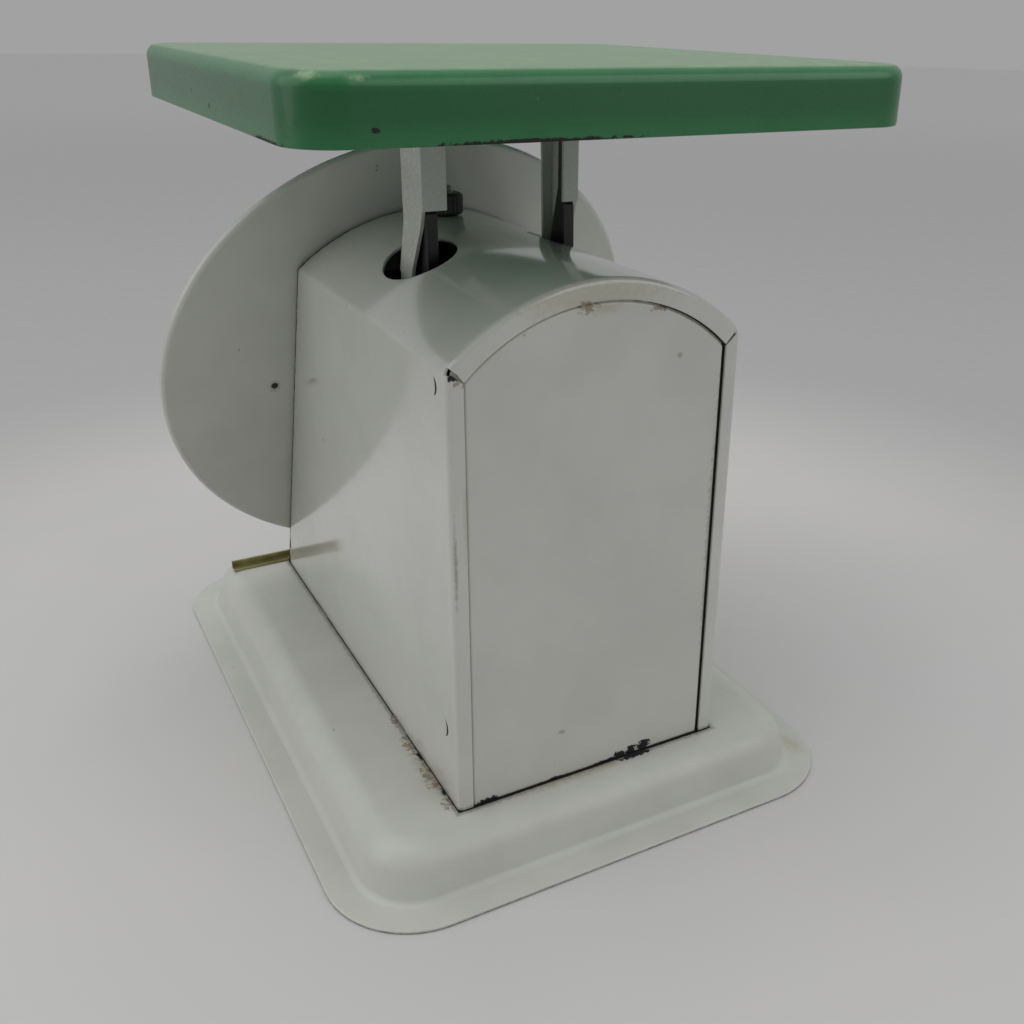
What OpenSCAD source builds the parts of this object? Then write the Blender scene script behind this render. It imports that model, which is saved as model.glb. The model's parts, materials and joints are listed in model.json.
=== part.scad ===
// Spring kitchen scale: a sheet-metal housing on a pressed base, a slanted round dial in
// front, and a square tray that stands on two channel posts and hangs from two springs.
// +Z is up, -Y is the dial side, and the origin is the centre of the base on the table.

/* [Base] */
// Width of the base pan, left to right
base_w = 172; // [160:1:190]
// Length of the base pan, front to back
base_l = 237; // [230:1:260]
// Height of the flat top of the base pan
base_h = 17; // [16:0.5:18]
// Corner radius of the base pan
base_corner = 28; // [26:1:32]

/* [Housing] */
// Width of the housing
house_w = 91; // [90:1:94]
// Position of the back face of the housing
house_back = 94.7; // [93:0.1:96]
// Height where the sides turn into the arch
eave_z = 153.5; // [152:0.5:156]
// Height of the arch above the eaves
arch_rise = 19.3; // [18:0.1:21]
// Backward lean of the dial and the front of the housing, in degrees
tilt = 21; // [18:0.5:22]
// Thickness of the housing sheet
sheet = 1; // [0.8:0.1:1.2]

/* [Dial] */
// Radius of the dial pan
dial_r = 92.6; // [90:0.1:94]
// Height of the centre of the dial, on the back face of the pan
dial_z = 109.8; // [108:0.1:111]

/* [Tray] */
// Side of the square tray
tray_w = 169; // [155:1:175]
// Corner radius of the tray
tray_corner = 13; // [10:1:18]
// Height of the top of the tray
tray_z = 225.2; // [222:0.1:230]
// Depth of the skirt of the tray
tray_skirt = 15.5; // [14:0.5:18]
// Position of the centre of the tray, front to back
tray_y = 29; // [27:0.5:31]

/* [Mechanism] */
// Travel of the tray from empty to full load
travel = 13; // [8:0.5:13]
// Number of teeth on the pinion
pinion_teeth = 10; // [10:1:12]
// Module of the pinion and the rack
gear_module = 0.5; // [0.45:0.01:0.5]
// Distance between the two springs
spring_gap = 28; // [26:1:30]
// Coils in each spring
spring_coils = 19; // [14:1:19]

/* [Hidden] */
$fn = 64;
big = 400;

enamel_white = [0.80, 0.81, 0.78];
enamel_green = [0.32, 0.55, 0.40];
black_paint = [0.05, 0.05, 0.05];
zinc = [0.62, 0.64, 0.66];
steel = [0.45, 0.46, 0.48];
brass = [0.62, 0.52, 0.22];
chrome = [0.82, 0.83, 0.85];
card_white = [0.93, 0.92, 0.87];
pointer_red = [0.62, 0.08, 0.06];

// Base pan section
pan_sheet = 1.2;
pan_roll_r = 10;
pan_foot_r = 2.5;
pan_slope = 15;
pan_lip = 7.6;
pan_foot_u = base_corner - pan_lip;
core_x = base_w / 2 - base_corner;
core_y = base_l / 2 - base_corner;

// Housing outline
house_half = house_w / 2;
eave_fillet = 3;
crown_z = eave_z + arch_rise;
arch_r = (house_half * house_half + arch_rise * arch_rise) / (2 * arch_rise);
arch_z = crown_z - arch_r;
front_top_y = -35.5;
front_slope = tan(tilt);
function front_y(z) = front_top_y - (eave_z - z) * front_slope;
side_flange = 4.8;
arch_flange = 6;
post_hole_x = 24.5;
post_hole_half = [10.5, 15.5];
crown_hole_r = 4;
tab_len = 12;
tab_y = [-40, 45];
seam = 0.2;
floor_z = base_h + seam;
panel_gap = 0.5;
panel_shift = 0.35;
panel_depth = 0.4;

// Brass strip at the foot of the dial
trim_half = 68.5;
trim_y = -92.2;
trim_h = 3.4;
trim_t = 0.9;
trim_leg = 4;
trim_rivet = [44, trim_y + 2.5];

// Dial stack, measured along the dial normal from the front plane of the housing
dial_y = front_y(dial_z);
dial_gap = 0.2;
plate_t = 1.2;
rim_wall_z = 2.8;
rim_roll = 1.8;
face_z = dial_gap + sheet;
face_t = 0.7;
ring_z = face_z + face_t;
ring_in = 86.5;
rivet_x = 52.7;
rivet_y = -2.8;

// Shaft, pinion and rack
shaft_r = 1.5;
run_gap = 0.05;
bush_r = 3.9;
shaft_back = -24.8;
shaft_front = 7.5;
pinion_z = -17;
pinion_len = 6;
pitch_r = pinion_teeth * gear_module / 2;
tooth_pitch = PI * gear_module;
pinion_add = 0.42;
pinion_ded = 0.5;
rack_add = 0.28;
rack_ded = 0.55;
tooth_slack = 0.09;
pressure = 20;
rack_z = -16;
rack_t = 4;
rack_back_x = 8;
rack_low = -39;
rack_high = 21;
bearing_z = -22;
hook_z = 72;
hook_pin_r = 1.5;
hook_gap = 0.06;
rack_mid = rack_z + rack_t / 2;
rack_mid_y = dial_y - rack_mid * cos(tilt);
rack_mid_h = dial_z + rack_mid * sin(tilt);
hook_y = rack_mid_y + (hook_z - rack_mid_h) * front_slope;
hook_slide = travel * front_slope;

// Frame and links
frame_x = 33;
frame_t = 1.6;
frame_foot_w = 8.4;
frame_pin_y = 68;
carriage_pin_y = 23;
link_run = frame_pin_y - carriage_pin_y;
link_drop = travel / 2;
link_angle = atan2(link_drop, link_run);
link_len = link_run / cos(link_angle);
lower_pin_z = 59.5;
upper_pin_z = 119.5;
link_x = 27;
link_t = 1.4;
pin_r = 2;
pin_gap = 0.06;
pin_head_r = 3.2;
bridge_z = 152;
bridge_t = 2;
bridge_y = [-19, -3];
knob_y = -11;
foot_y = [-16, 68];

// Springs and their hanger
spring_r = 6;
wire_r = 0.9;
coil_pitch = 2.1;
spring_x = spring_gap / 2;
upper_hook_z = 130;
lower_hook_z = upper_hook_z - spring_coils * coil_pitch - 2 * (spring_r + 1.6);
ear_t = 1.5;
ear_hole_r = 1.6;
hanger_z = 136;
hanger_t = 3;
rod_r = 2.5;
rod_top = 182.4;
knob_z = crown_z + 0.4;
knob_h = 7;
knob_r = 5.6;
sleeve_r = 3.5;

// Carriage and posts
plate_z = 48;
plate_half = 20.1;
arm_x = 22.2;
arm_t = 2.5;
arm_top = 214;
web_x = arm_x + arm_t;
web_t = 1.2;
post_y = 24.9;
post_half = 8.1;
flange_end = 182;
flange_low = 162;
flange_reach = [7.8, 5.2];
post_rivet_y = 28.5;
post_rivet_r = 1.2;
strip_x = arm_x - 1.1;
bracket_t = 2;
tray_sheet = 1;
post_top = tray_z - tray_sheet - bracket_t;
tongue_low = 152;
flare = 1.8;

// Arc points around a centre, from one angle to another
function arc(c, r, a0, a1, n) = [for (i = [0:n]) c + r * [cos(a0 + (a1 - a0) * i / n), sin(a0 + (a1 - a0) * i / n)]];

// Ellipse points
function oval(half, n) = [for (i = [0:n - 1]) [half[0] * cos(360 * i / n), half[1] * sin(360 * i / n)]];

// Slot with round ends along X between two centres
function slot(x0, x1, r) = concat(arc([x0, 0], r, 90, 270, 16), arc([x1, 0], r, -90, 90, 16));

// Housing outline with flat sides, rounded eaves and an arched top
function eave_centre(half, r, f) = [half - f, sqrt((r - f) * (r - f) - (half - f) * (half - f))];
function eave_angle(half, r, f) = atan2(eave_centre(half, r, f)[1], eave_centre(half, r, f)[0]);
function right_eave(half, r, f) = arc(eave_centre(half, r, f) + [0, arch_z], f, 0, eave_angle(half, r, f), 6);
function arch_outline(half, r, f, low) = concat(
    [[half, low]],
    right_eave(half, r, f),
    arc([0, arch_z], r, eave_angle(half, r, f) + 1, 179 - eave_angle(half, r, f), 44),
    [for (p = [6:-1:0]) [-right_eave(half, r, f)[p][0], right_eave(half, r, f)[p][1]]],
    [[-half, low]]
);

// Places its children on the dial: local Z is the dial normal, local Y runs up the dial
module at_dial() translate([0, dial_y, dial_z]) rotate([90 - tilt, 0, 0]) children();

// Extrudes a side view, drawn as [y, z], from x0 by t along X
module side_plate(x0, t) translate([x0, 0, 0]) rotate([90, 0, 90]) linear_extrude(t) children();

// Extrudes a back view, drawn as [x, z], from y0 by t along Y
module back_plate(y0, t) translate([0, y0 + t, 0]) rotate([90, 0, 0]) linear_extrude(t) children();

// Cylinder along X
module rod_x(x0, x1, y, z, r) translate([x0, y, z]) rotate([0, 90, 0]) cylinder(r = r, h = x1 - x0);

// Repeats its children mirrored to the other side
module both_sides() {
    children();
    mirror([1, 0, 0]) children();
}

// Keeps only what lies between two planes parallel to the dial
module dial_layer(z0, z1) intersection() {
    children();
    at_dial() translate([-big / 2, -big / 2, z0]) cube([big, big, z1 - z0]);
}

// Section of the base pan, from the flat top at the left to the lip at the right
roll_c = [
    pan_foot_u - (pan_roll_r + pan_foot_r) * cos(pan_slope)
        - (base_h - pan_sheet - (pan_roll_r + pan_foot_r) * (1 - sin(pan_slope))) * tan(pan_slope),
    base_h - pan_roll_r
];
foot_c = [pan_foot_u, pan_sheet + pan_foot_r];
function pan_edge(inset) = concat(
    arc(roll_c, pan_roll_r - inset, 90, pan_slope, 8),
    arc(foot_c, pan_foot_r + inset, 180 + pan_slope, 270, 5)
);
function pan_section() = concat(
    [[0, base_h]],
    pan_edge(0),
    [[base_corner, pan_sheet], [base_corner, 0]],
    [for (i = [len(pan_edge(pan_sheet)) - 1:-1:0]) pan_edge(pan_sheet)[i]],
    [[0, base_h - pan_sheet]]
);

module pan_body() {
    for (sx = [-1, 1], sy = [-1, 1])
        translate([sx * core_x, sy * core_y, 0])
            rotate([0, 0, sx > 0 ? (sy > 0 ? 0 : -90) : (sy > 0 ? 90 : 180)])
                rotate_extrude(angle = 90) polygon(pan_section());
    for (s = [0, 180])
        rotate([0, 0, s]) {
            translate([core_x, core_y, 0]) rotate([90, 0, 0]) linear_extrude(2 * core_y) polygon(pan_section());
            translate([-core_x, core_y, 0]) rotate([90, 0, 90]) linear_extrude(2 * core_x) polygon(pan_section());
        }
    translate([-core_x, -core_y, base_h - pan_sheet]) cube([2 * core_x, 2 * core_y, pan_sheet]);
}

module base_pan() color(enamel_white) difference() {
    pan_body();
    both_sides() for (y = tab_y)
        translate([house_half - sheet - 0.2, y - tab_len / 2 - 0.3, base_h - 2 * pan_sheet])
            cube([sheet + 0.4, tab_len + 0.6, 3 * pan_sheet]);
    both_sides() for (y = foot_y)
        translate([frame_x + frame_t + frame_foot_w / 2, y, 0]) cylinder(r = pin_r, h = base_h + 1);
    both_sides() translate(concat(trim_rivet, 0)) cylinder(r = 1, h = base_h + 1);
}

module trim_strip() color(brass) difference() {
    union() {
        translate([-trim_half, trim_y, base_h]) cube([2 * trim_half, trim_t, trim_h]);
        translate([-trim_half, trim_y, base_h]) cube([2 * trim_half, trim_leg, trim_t]);
    }
    both_sides() translate(concat(trim_rivet, 0)) cylinder(r = 1, h = base_h + 2);
}

module trim_rivets() color(brass) both_sides() translate(concat(trim_rivet, 0)) {
    translate([0, 0, base_h - pan_sheet - 0.8]) cylinder(r = 1.8, h = 0.8);
    translate([0, 0, base_h - pan_sheet]) cylinder(r = 1, h = pan_sheet + trim_t);
    translate([0, 0, base_h + trim_t]) cylinder(r = 1.4, h = 0.5);
}

module post_hole() translate([post_hole_x, post_y + 0.7, eave_z - 10])
    linear_extrude(arch_rise + 20) polygon(oval(post_hole_half, 48));

module shell_outline() difference() {
    polygon(arch_outline(house_half, arch_r, eave_fillet, floor_z));
    polygon(arch_outline(house_half - sheet, arch_r - sheet, eave_fillet - sheet, floor_z - 1));
}

module flange_outline() difference() {
    polygon(arch_outline(house_half - sheet / 2, arch_r - sheet / 2, eave_fillet - sheet / 2, floor_z));
    polygon(arch_outline(house_half - side_flange, arch_r - arch_flange, 1.5, floor_z - 1));
}

// Slit where the side flange and the arch flange meet at the eave
module mitre_slit() translate([house_half - 1.5, house_back - 2 * sheet, eave_z - 2.2])
    rotate([0, 45, 0]) translate([-10, 0, -0.25]) cube([11, 3 * sheet, 0.5]);

module housing_tab(y) {
    translate([house_half - sheet, y - tab_len / 2, base_h - pan_sheet - sheet - 0.1])
        cube([sheet, tab_len, pan_sheet + sheet + 0.1 + seam + 2]);
    translate([house_half - 6, y - tab_len / 2, base_h - pan_sheet - sheet - 0.1]) cube([6, tab_len, sheet]);
}

module housing_shell() color(enamel_white) difference() {
    union() {
        dial_layer(-big, 0) back_plate(-110, house_back + 110) shell_outline();
        back_plate(house_back - sheet, sheet) flange_outline();
        both_sides() for (y = tab_y) housing_tab(y);
    }
    both_sides() post_hole();
    both_sides() mitre_slit();
    translate([0, knob_y, crown_z - 10]) cylinder(r = crown_hole_r, h = 20);
}

panel_rim_y = house_back - 2 * sheet - 0.2;

module panel_outline(side, top, low) translate([panel_shift, 0])
    polygon(arch_outline(house_half - side_flange - side, arch_r - arch_flange - top, 1.5, low));

module back_panel() color(enamel_white) difference() {
    union() {
        back_plate(panel_rim_y, sheet)
            polygon(arch_outline(house_half - sheet - 0.3, arch_r - sheet - 0.3, 2, floor_z + 0.3));
        back_plate(panel_rim_y, house_back - panel_depth - panel_rim_y)
            panel_outline(panel_gap, panel_gap, floor_z + 0.3);
    }
    back_plate(panel_rim_y - 1, house_back - panel_depth - sheet - panel_rim_y + 1)
        panel_outline(panel_gap + sheet, panel_gap + sheet, floor_z + 0.3 + sheet);
}

// Slanted front plate with side flanges that line the housing
module front_plate() color(enamel_white) difference() {
    union() {
        dial_layer(-plate_t, -0.1) back_plate(-110, 200)
            polygon(arch_outline(house_half - sheet - 0.1, arch_r - sheet - 0.1, eave_fillet - sheet, floor_z));
        dial_layer(-9, -0.1) back_plate(-110, 200) difference() {
            polygon(arch_outline(house_half - sheet - 0.1, arch_r - sheet - 0.1, eave_fillet - sheet, floor_z));
            polygon(arch_outline(house_half - 2 * sheet - 0.1, arch_r - 2 * sheet - 0.1, 1, floor_z - 1));
        }
    }
    at_dial() {
        translate([0, 0, -20]) cylinder(r = bush_r, h = 40);
        pan_rivet_places() translate([0, 0, -5]) cylinder(r = 1.6, h = 10);
        both_sides() translate([20, 0, -5]) cylinder(r = 1.5, h = 10);
    }
}

module pan_rivet_places() for (x = [-28, 28], y = [-28, 28]) translate([x, y, 0]) children();

module dial_rivet_places() both_sides() translate([rivet_x, rivet_y, 0]) children();

module dial_pan() color(enamel_white) at_dial() difference() {
    rotate_extrude($fn = 128) polygon(concat(
        [[bush_r, dial_gap]],
        arc([dial_r - rim_roll, dial_gap + rim_roll], rim_roll, -90, 0, 8),
        [[dial_r, rim_wall_z], [dial_r - sheet, rim_wall_z]],
        arc([dial_r - rim_roll, dial_gap + rim_roll], rim_roll - sheet, 0, -90, 8),
        [[bush_r, face_z]]
    ));
    pan_rivet_places() translate([0, 0, -1]) cylinder(r = 1.6, h = 5);
    dial_rivet_places() translate([0, 0, -1]) cylinder(r = 1.1, h = 5);
}

module dial_plate() color(card_white) at_dial() translate([0, 0, face_z]) difference() {
    cylinder(r = dial_r - rim_roll - 0.2, h = face_t, $fn = 128);
    translate([0, 0, -1]) cylinder(r = 2.4, h = 3);
    dial_rivet_places() translate([0, 0, -1]) cylinder(r = 1.1, h = 5);
}

module dial_rivets() color(steel) at_dial() dial_rivet_places() {
    translate([0, 0, dial_gap - 0.6]) cylinder(r = 1.9, h = 0.6);
    translate([0, 0, dial_gap]) cylinder(r = 1.1, h = ring_z - dial_gap);
    translate([0, 0, ring_z]) cylinder(r = 1.9, h = 0.5);
}

module pan_rivets() color(steel) at_dial() pan_rivet_places() {
    translate([0, 0, -plate_t - 1]) cylinder(r = 3, h = 1);
    translate([0, 0, -plate_t]) cylinder(r = 1.6, h = plate_t + face_z);
}

rim_inner = dial_r - sheet;

// Flat ring that holds the edge of the dial plate in the rim of the pan
module bezel_ring() color(chrome) at_dial() rotate_extrude($fn = 128) polygon([
    [ring_in, ring_z], [rim_inner - 0.1, ring_z], [rim_inner - 0.1, ring_z + 0.7],
    [rim_inner - 1, ring_z + 1.2], [ring_in + 1, ring_z + 1.2], [ring_in, ring_z + 0.7]
]);

module front_bush() color(brass) at_dial() difference() {
    union() {
        translate([0, 0, -3.6]) cylinder(r = 6, h = 3.6 - plate_t);
        translate([0, 0, -plate_t]) cylinder(r = bush_r, h = plate_t + face_z);
    }
    translate([0, 0, -10]) cylinder(r = shaft_r + run_gap, h = 20);
}

module bearing_bracket() color(zinc) at_dial() difference() {
    union() {
        translate([-16, -10, bearing_z - plate_t]) cube([32, 20, plate_t]);
        both_sides() {
            translate([16 - plate_t, -10, bearing_z]) cube([plate_t, 20, -bearing_z - plate_t]);
            translate([15.9, -6, -2 * plate_t]) cube([8.1, 12, plate_t]);
        }
    }
    translate([0, 0, bearing_z - 5]) cylinder(r = shaft_r + run_gap, h = 10);
    both_sides() translate([20, 0, -5]) cylinder(r = 1.5, h = 10);
    translate([9.4, 0, bearing_z - 5]) cylinder(r = 1, h = 10);
}

module bracket_rivets() color(steel) at_dial() both_sides() translate([20, 0, 0]) {
    translate([0, 0, -2 * plate_t - 0.9]) cylinder(r = 2.6, h = 0.9);
    translate([0, 0, -2 * plate_t]) cylinder(r = 1.5, h = 2 * plate_t - 0.1);
}

module rack_guide() color(brass) at_dial() {
    translate([rack_back_x + 0.1, -6, bearing_z]) cube([2.6, 12, -bearing_z + pinion_z + pinion_len]);
    translate([9.4, 0, bearing_z - plate_t]) cylinder(r = 1, h = plate_t);
}

module frame_side() difference() {
    union() {
        side_plate(frame_x, frame_t) polygon([
            [-24, base_h], [76, base_h], [76, 136], [73, 139], [63, 139], [60, 136],
            [60, 35], [54, 29], [3, 29], [-3, 35], [-3, bridge_z],
            [-19, bridge_z], [-19, 29], [-24, 24]
        ]);
        for (y = foot_y)
            translate([frame_x + frame_t - 0.1, y - 8, base_h]) cube([frame_foot_w + 0.1, 16, frame_t]);
    }
    for (z = [lower_pin_z, upper_pin_z]) rod_x(frame_x - 1, frame_x + 5, frame_pin_y, z, pin_r);
    for (y = foot_y) translate([frame_x + frame_t + frame_foot_w / 2, y, 0]) cylinder(r = pin_r, h = base_h + 5);
    rod_x(frame_x - 1, frame_x + 5, knob_y, bridge_z - 6, 1.5);
}

module frame_left() color(zinc) frame_side();

module frame_right() color(zinc) mirror([1, 0, 0]) frame_side();

module frame_rivets() color(steel) both_sides() for (y = foot_y)
    translate([frame_x + frame_t + frame_foot_w / 2, y, 0]) {
        translate([0, 0, base_h - pan_sheet - 1.2]) cylinder(r = pin_head_r, h = 1.2);
        translate([0, 0, base_h - pan_sheet]) cylinder(r = pin_r, h = pan_sheet + frame_t);
        translate([0, 0, base_h + frame_t]) cylinder(r = pin_head_r, h = 1.2);
    }

module top_bridge() color(zinc) difference() {
    union() {
        translate([-frame_x - frame_t, bridge_y[0], bridge_z])
            cube([2 * (frame_x + frame_t), bridge_y[1] - bridge_y[0], bridge_t]);
        both_sides() translate([frame_x - frame_t, bridge_y[0], bridge_z - 12])
            cube([frame_t, bridge_y[1] - bridge_y[0], 12.1]);
    }
    translate([0, knob_y, bridge_z - 5]) cylinder(r = rod_r + 0.2, h = 10);
    both_sides() rod_x(frame_x - 5, frame_x + 5, knob_y, bridge_z - 6, 1.5);
}

module bridge_rivets() color(steel) both_sides() {
    rod_x(frame_x - frame_t - 1, frame_x - frame_t, knob_y, bridge_z - 6, 2.6);
    rod_x(frame_x - frame_t, frame_x + frame_t, knob_y, bridge_z - 6, 1.5);
    rod_x(frame_x + frame_t, frame_x + frame_t + 1, knob_y, bridge_z - 6, 2.6);
}

// Pivot pins fixed in the frame: head outside, shoulder, link journal, riveted collar
module frame_pins() color(steel) both_sides() for (z = [lower_pin_z, upper_pin_z]) {
    rod_x(frame_x + frame_t, frame_x + frame_t + 1.4, frame_pin_y, z, pin_head_r);
    rod_x(link_x - 0.2, frame_x + frame_t, frame_pin_y, z, pin_r);
    rod_x(link_x + link_t + 0.2, frame_x, frame_pin_y, z, pin_head_r - 0.2);
    rod_x(link_x - 1.4, link_x - 0.2, frame_pin_y, z, pin_head_r);
}

// Involute of the base circle, scaled to a point on the tooth flank
base_r = pitch_r * cos(pressure);
function flank_angle(r) = let (c = base_r / r, a = acos(min(1, c))) tan(a) * 180 / PI - a;
half_tooth = 90 / pinion_teeth - tooth_slack / 2 / pitch_r * 180 / PI;
function flank(r, side) = let (a = side * (half_tooth + flank_angle(pitch_r) - flank_angle(max(r, base_r)))) r * [cos(a), sin(a)];
function tooth_radii() = [pitch_r - pinion_ded, base_r, base_r + 0.15, pitch_r + 0.1, pitch_r + 0.25, pitch_r + pinion_add];
function tooth(i) = let (a = 360 * i / pinion_teeth, radii = tooth_radii(), n = len(radii), pts = concat(
    [for (k = [0:n - 1]) flank(radii[k], -1)],
    [for (k = [n - 1:-1:0]) flank(radii[k], 1)]
)) [for (p = pts) [p[0] * cos(a) - p[1] * sin(a), p[0] * sin(a) + p[1] * cos(a)]];

module pinion_shaft() color(steel) at_dial() {
    translate([0, 0, pinion_z]) linear_extrude(pinion_len)
        polygon([for (i = [0:pinion_teeth - 1], p = tooth(i)) p]);
    translate([0, 0, shaft_back]) cylinder(r = shaft_r, h = shaft_front - shaft_back);
}

hub_z = 3.2;

module pointer_hub() color(brass) at_dial() difference() {
    union() {
        translate([0, 0, hub_z]) cylinder(r = 5, h = 1);
        translate([0, 0, hub_z]) cylinder(r = 2.6, h = 2.8);
    }
    cylinder(r = shaft_r, h = 20);
}

module pointer() color(pointer_red) at_dial() translate([0, 0, hub_z + 1]) difference() {
    linear_extrude(0.6) polygon([
        [1.1, 78], [0, 82], [-1.1, 78], [-2.2, 8], [-6, 4], [-6, -4], [-3, -8], [-3.6, -24],
        [3.6, -24], [3, -8], [6, -4], [6, 4], [2.2, 8]
    ]);
    translate([0, 0, -1]) cylinder(r = 2.6, h = 3);
}

function rack_tooth(y) = [
    [pitch_r + rack_ded, y - tooth_pitch / 4 - rack_ded * tan(pressure)],
    [pitch_r - rack_add, y - tooth_pitch / 4 + rack_add * tan(pressure)],
    [pitch_r - rack_add, y + tooth_pitch / 4 - rack_add * tan(pressure)],
    [pitch_r + rack_ded, y + tooth_pitch / 4 + rack_ded * tan(pressure)]
];
rack_first = -3;
rack_last = 11;

module rack() color(steel) {
    at_dial() translate([0, 0, rack_z]) linear_extrude(rack_t) polygon(concat(
        [[rack_back_x, rack_low], [pitch_r + rack_ded, rack_low]],
        [for (i = [rack_first:rack_last], p = rack_tooth((i + 0.5) * tooth_pitch)) p],
        [[pitch_r + rack_ded, rack_high], [rack_back_x, rack_high]]
    ));
    rod_x(rack_back_x - 1, 11, hook_y, hook_z, hook_pin_r);
    rod_x(11, 12, hook_y, hook_z, 2.5);
}

// One check link, drawn at rest: local -Y points from the frame pin to the carriage pin
eye_r = 5;
strap_half = 3.4;

module link_side() difference() {
    side_plate(link_x, link_t) union() {
        circle(r = eye_r);
        translate([-link_len, 0]) circle(r = eye_r + 0.4);
        translate([-link_len, -strap_half]) square([link_len, 2 * strap_half]);
    }
    rod_x(link_x - 1, link_x + 3, 0, 0, pin_r + pin_gap);
    side_plate(link_x - 1, link_t + 2) translate([-link_len, 0]) polygon(slot(-0.1, link_len - link_run + 0.1, pin_r + pin_gap));
}

module check_link(z) translate([0, frame_pin_y, z]) rotate([-link_angle, 0, 0]) {
    both_sides() link_side();
    translate([-link_x - 0.1, -20, -strap_half]) cube([2 * link_x + 0.2, 9, link_t]);
}

module upper_link() color(zinc) check_link(upper_pin_z);

module lower_link() color(zinc) check_link(lower_pin_z);

module hook_slot() translate([0, hook_y, hook_z]) side_plate(8, 4)
    polygon(slot(-hook_slide - 0.2, 0.2, hook_pin_r + hook_gap));

module carriage_plate() color(black_paint) difference() {
    union() {
        translate([-plate_half - 2, -22, plate_z]) cube([2 * plate_half + 4, 56, 2]);
        translate([-14, hook_y - hook_slide - 5, plate_z]) cube([28, -hook_y + hook_slide + 5 - 21.9, 2]);
        both_sides() {
            translate([plate_half, 8, plate_z + 1]) cube([2.1, 26, 13]);
            spring_ear_low();
        }
        translate([9, hook_y - hook_slide - 5, plate_z + 1]) cube([1.6, hook_slide + 10, hook_z - plate_z + 4]);
    }
    hook_slot();
    both_sides() for (y = [13, 29]) rod_x(plate_half - 1, arm_x + 5, y, plate_z + 8, 1.5);
}

module spring_ear_low() difference() {
    translate([spring_x - ear_t / 2, knob_y - 4, plate_z + 1]) cube([ear_t, 8, lower_hook_z + 3.2 - plate_z - 1]);
    rod_x(spring_x - 2, spring_x + 2, knob_y, lower_hook_z, ear_hole_r);
}

// Arm with a stiffening strip along the rear edge of its upper part
module arm_side() difference() {
    union() {
        side_plate(arm_x, arm_t) polygon([
            [10, plate_z + 1], [33, plate_z + 1], [33, 70], [30, 76], [30, 142], [33, 150],
            [33, 168], [32.6, flange_end - 1], [31.6, flange_end], [31.6, arm_top], [26.6, arm_top],
            [26.6, 186], [21, 166], [18.4, flange_low - 0.6], [12, 156], [12, 150],
            [16, 142], [16, 76], [10, 70]
        ]);
        side_plate(strip_x, arm_x - strip_x) polygon([
            [33, 154], [33, 168], [32.6, flange_end - 1], [31.6, flange_end], [31.6, arm_top],
            [30.4, arm_top], [30.4, flange_end], [31.4, flange_end - 1], [31.8, 168], [31.8, 156]
        ]);
    }
    for (z = [lower_pin_z, upper_pin_z]) rod_x(arm_x - 1, arm_x + 5, carriage_pin_y, z + link_drop, pin_r);
    for (y = [13, 29]) rod_x(arm_x - 1, arm_x + 5, y, plate_z + 8, 1.5);
    for (z = [202, 210]) rod_x(arm_x - 1, arm_x + 5, post_rivet_y, z, post_rivet_r);
}

module arm_left() color(black_paint) arm_side();

module arm_right() color(black_paint) mirror([1, 0, 0]) arm_side();

module arm_rivets() color(black_paint) both_sides() for (y = [13, 29]) {
    rod_x(plate_half - 0.9, plate_half, y, plate_z + 8, 2.6);
    rod_x(plate_half, arm_x + arm_t, y, plate_z + 8, 1.5);
    rod_x(arm_x + arm_t, arm_x + arm_t + 0.9, y, plate_z + 8, 2.6);
}

module carriage_pins() color(steel) both_sides() for (z = [lower_pin_z, upper_pin_z]) {
    rod_x(arm_x, link_x + link_t + 0.2, carriage_pin_y, z + link_drop, pin_r);
    rod_x(link_x + link_t + 0.2, link_x + link_t + 1.4, carriage_pin_y, z + link_drop, pin_head_r);
}

// Spring wire: helix, then an elbow and an open hook in the XZ plane at each end
hook_r = 5.6;
elbow_r = 1.6;
hook_start = asin(elbow_r / spring_r);
coil_steps = 14;
coil_h = spring_coils * coil_pitch;
function half_path() = concat(
    [for (i = [0:round(coil_steps * spring_coils / 2)])
        let (u = i / round(coil_steps * spring_coils / 2), a = u * spring_coils * 180 - spring_coils * 180 - hook_start)
            [spring_r * cos(a), spring_r * sin(a), u * coil_h / 2]],
    [for (a = [30:30:90]) [spring_r * cos(hook_start), -elbow_r * (1 - sin(a)), coil_h / 2 + elbow_r * (1 - cos(a))]],
    [for (a = [12:12:204]) [spring_r * cos(hook_start) - hook_r * (1 - cos(a)), 0, coil_h / 2 + elbow_r + hook_r * sin(a)]]
);
function flip(p) = [p[0], -p[1], -p[2]];
function wire_path() = let (h = half_path(), n = len(h)) concat(
    [for (i = [n - 1:-1:1]) flip(h[i])],
    h
);
function unit(v) = v / norm(v);
function tangents(p) = [for (i = [0:len(p) - 1]) unit(p[min(i + 1, len(p) - 1)] - p[max(i - 1, 0)])];
function side_dirs(t) = [
    for (i = 0, r = unit(cross(t[0], [0.1, 1, 0.2])); i < len(t); i = i + 1, r = i < len(t) ? unit(r - (r * t[i]) * t[i]) : r) r
];

module wire(p, r, sides) {
    t = tangents(p);
    d = side_dirs(t);
    n = len(p);
    rings = [for (i = [0:n - 1], k = [0:sides - 1]) let (a = 360 * k / sides)
        p[i] + r * (cos(a) * d[i] + sin(a) * cross(t[i], d[i]))];
    faces = concat(
        [[for (k = [sides - 1:-1:0]) k]],
        [[for (k = [0:sides - 1]) (n - 1) * sides + k]],
        [for (i = [0:n - 2], k = [0:sides - 1])
            [i * sides + k, i * sides + (k + 1) % sides, (i + 1) * sides + (k + 1) % sides, (i + 1) * sides + k]]
    );
    polyhedron(rings, [for (f = faces) [for (j = [len(f) - 1:-1:0]) f[j]]], convexity = 10);
}

module spring() translate([spring_x, knob_y, (upper_hook_z + lower_hook_z) / 2]) wire(wire_path(), wire_r, 6);

module spring_left() color(steel) spring();

module spring_right() color(steel) mirror([1, 0, 0]) spring();

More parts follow.
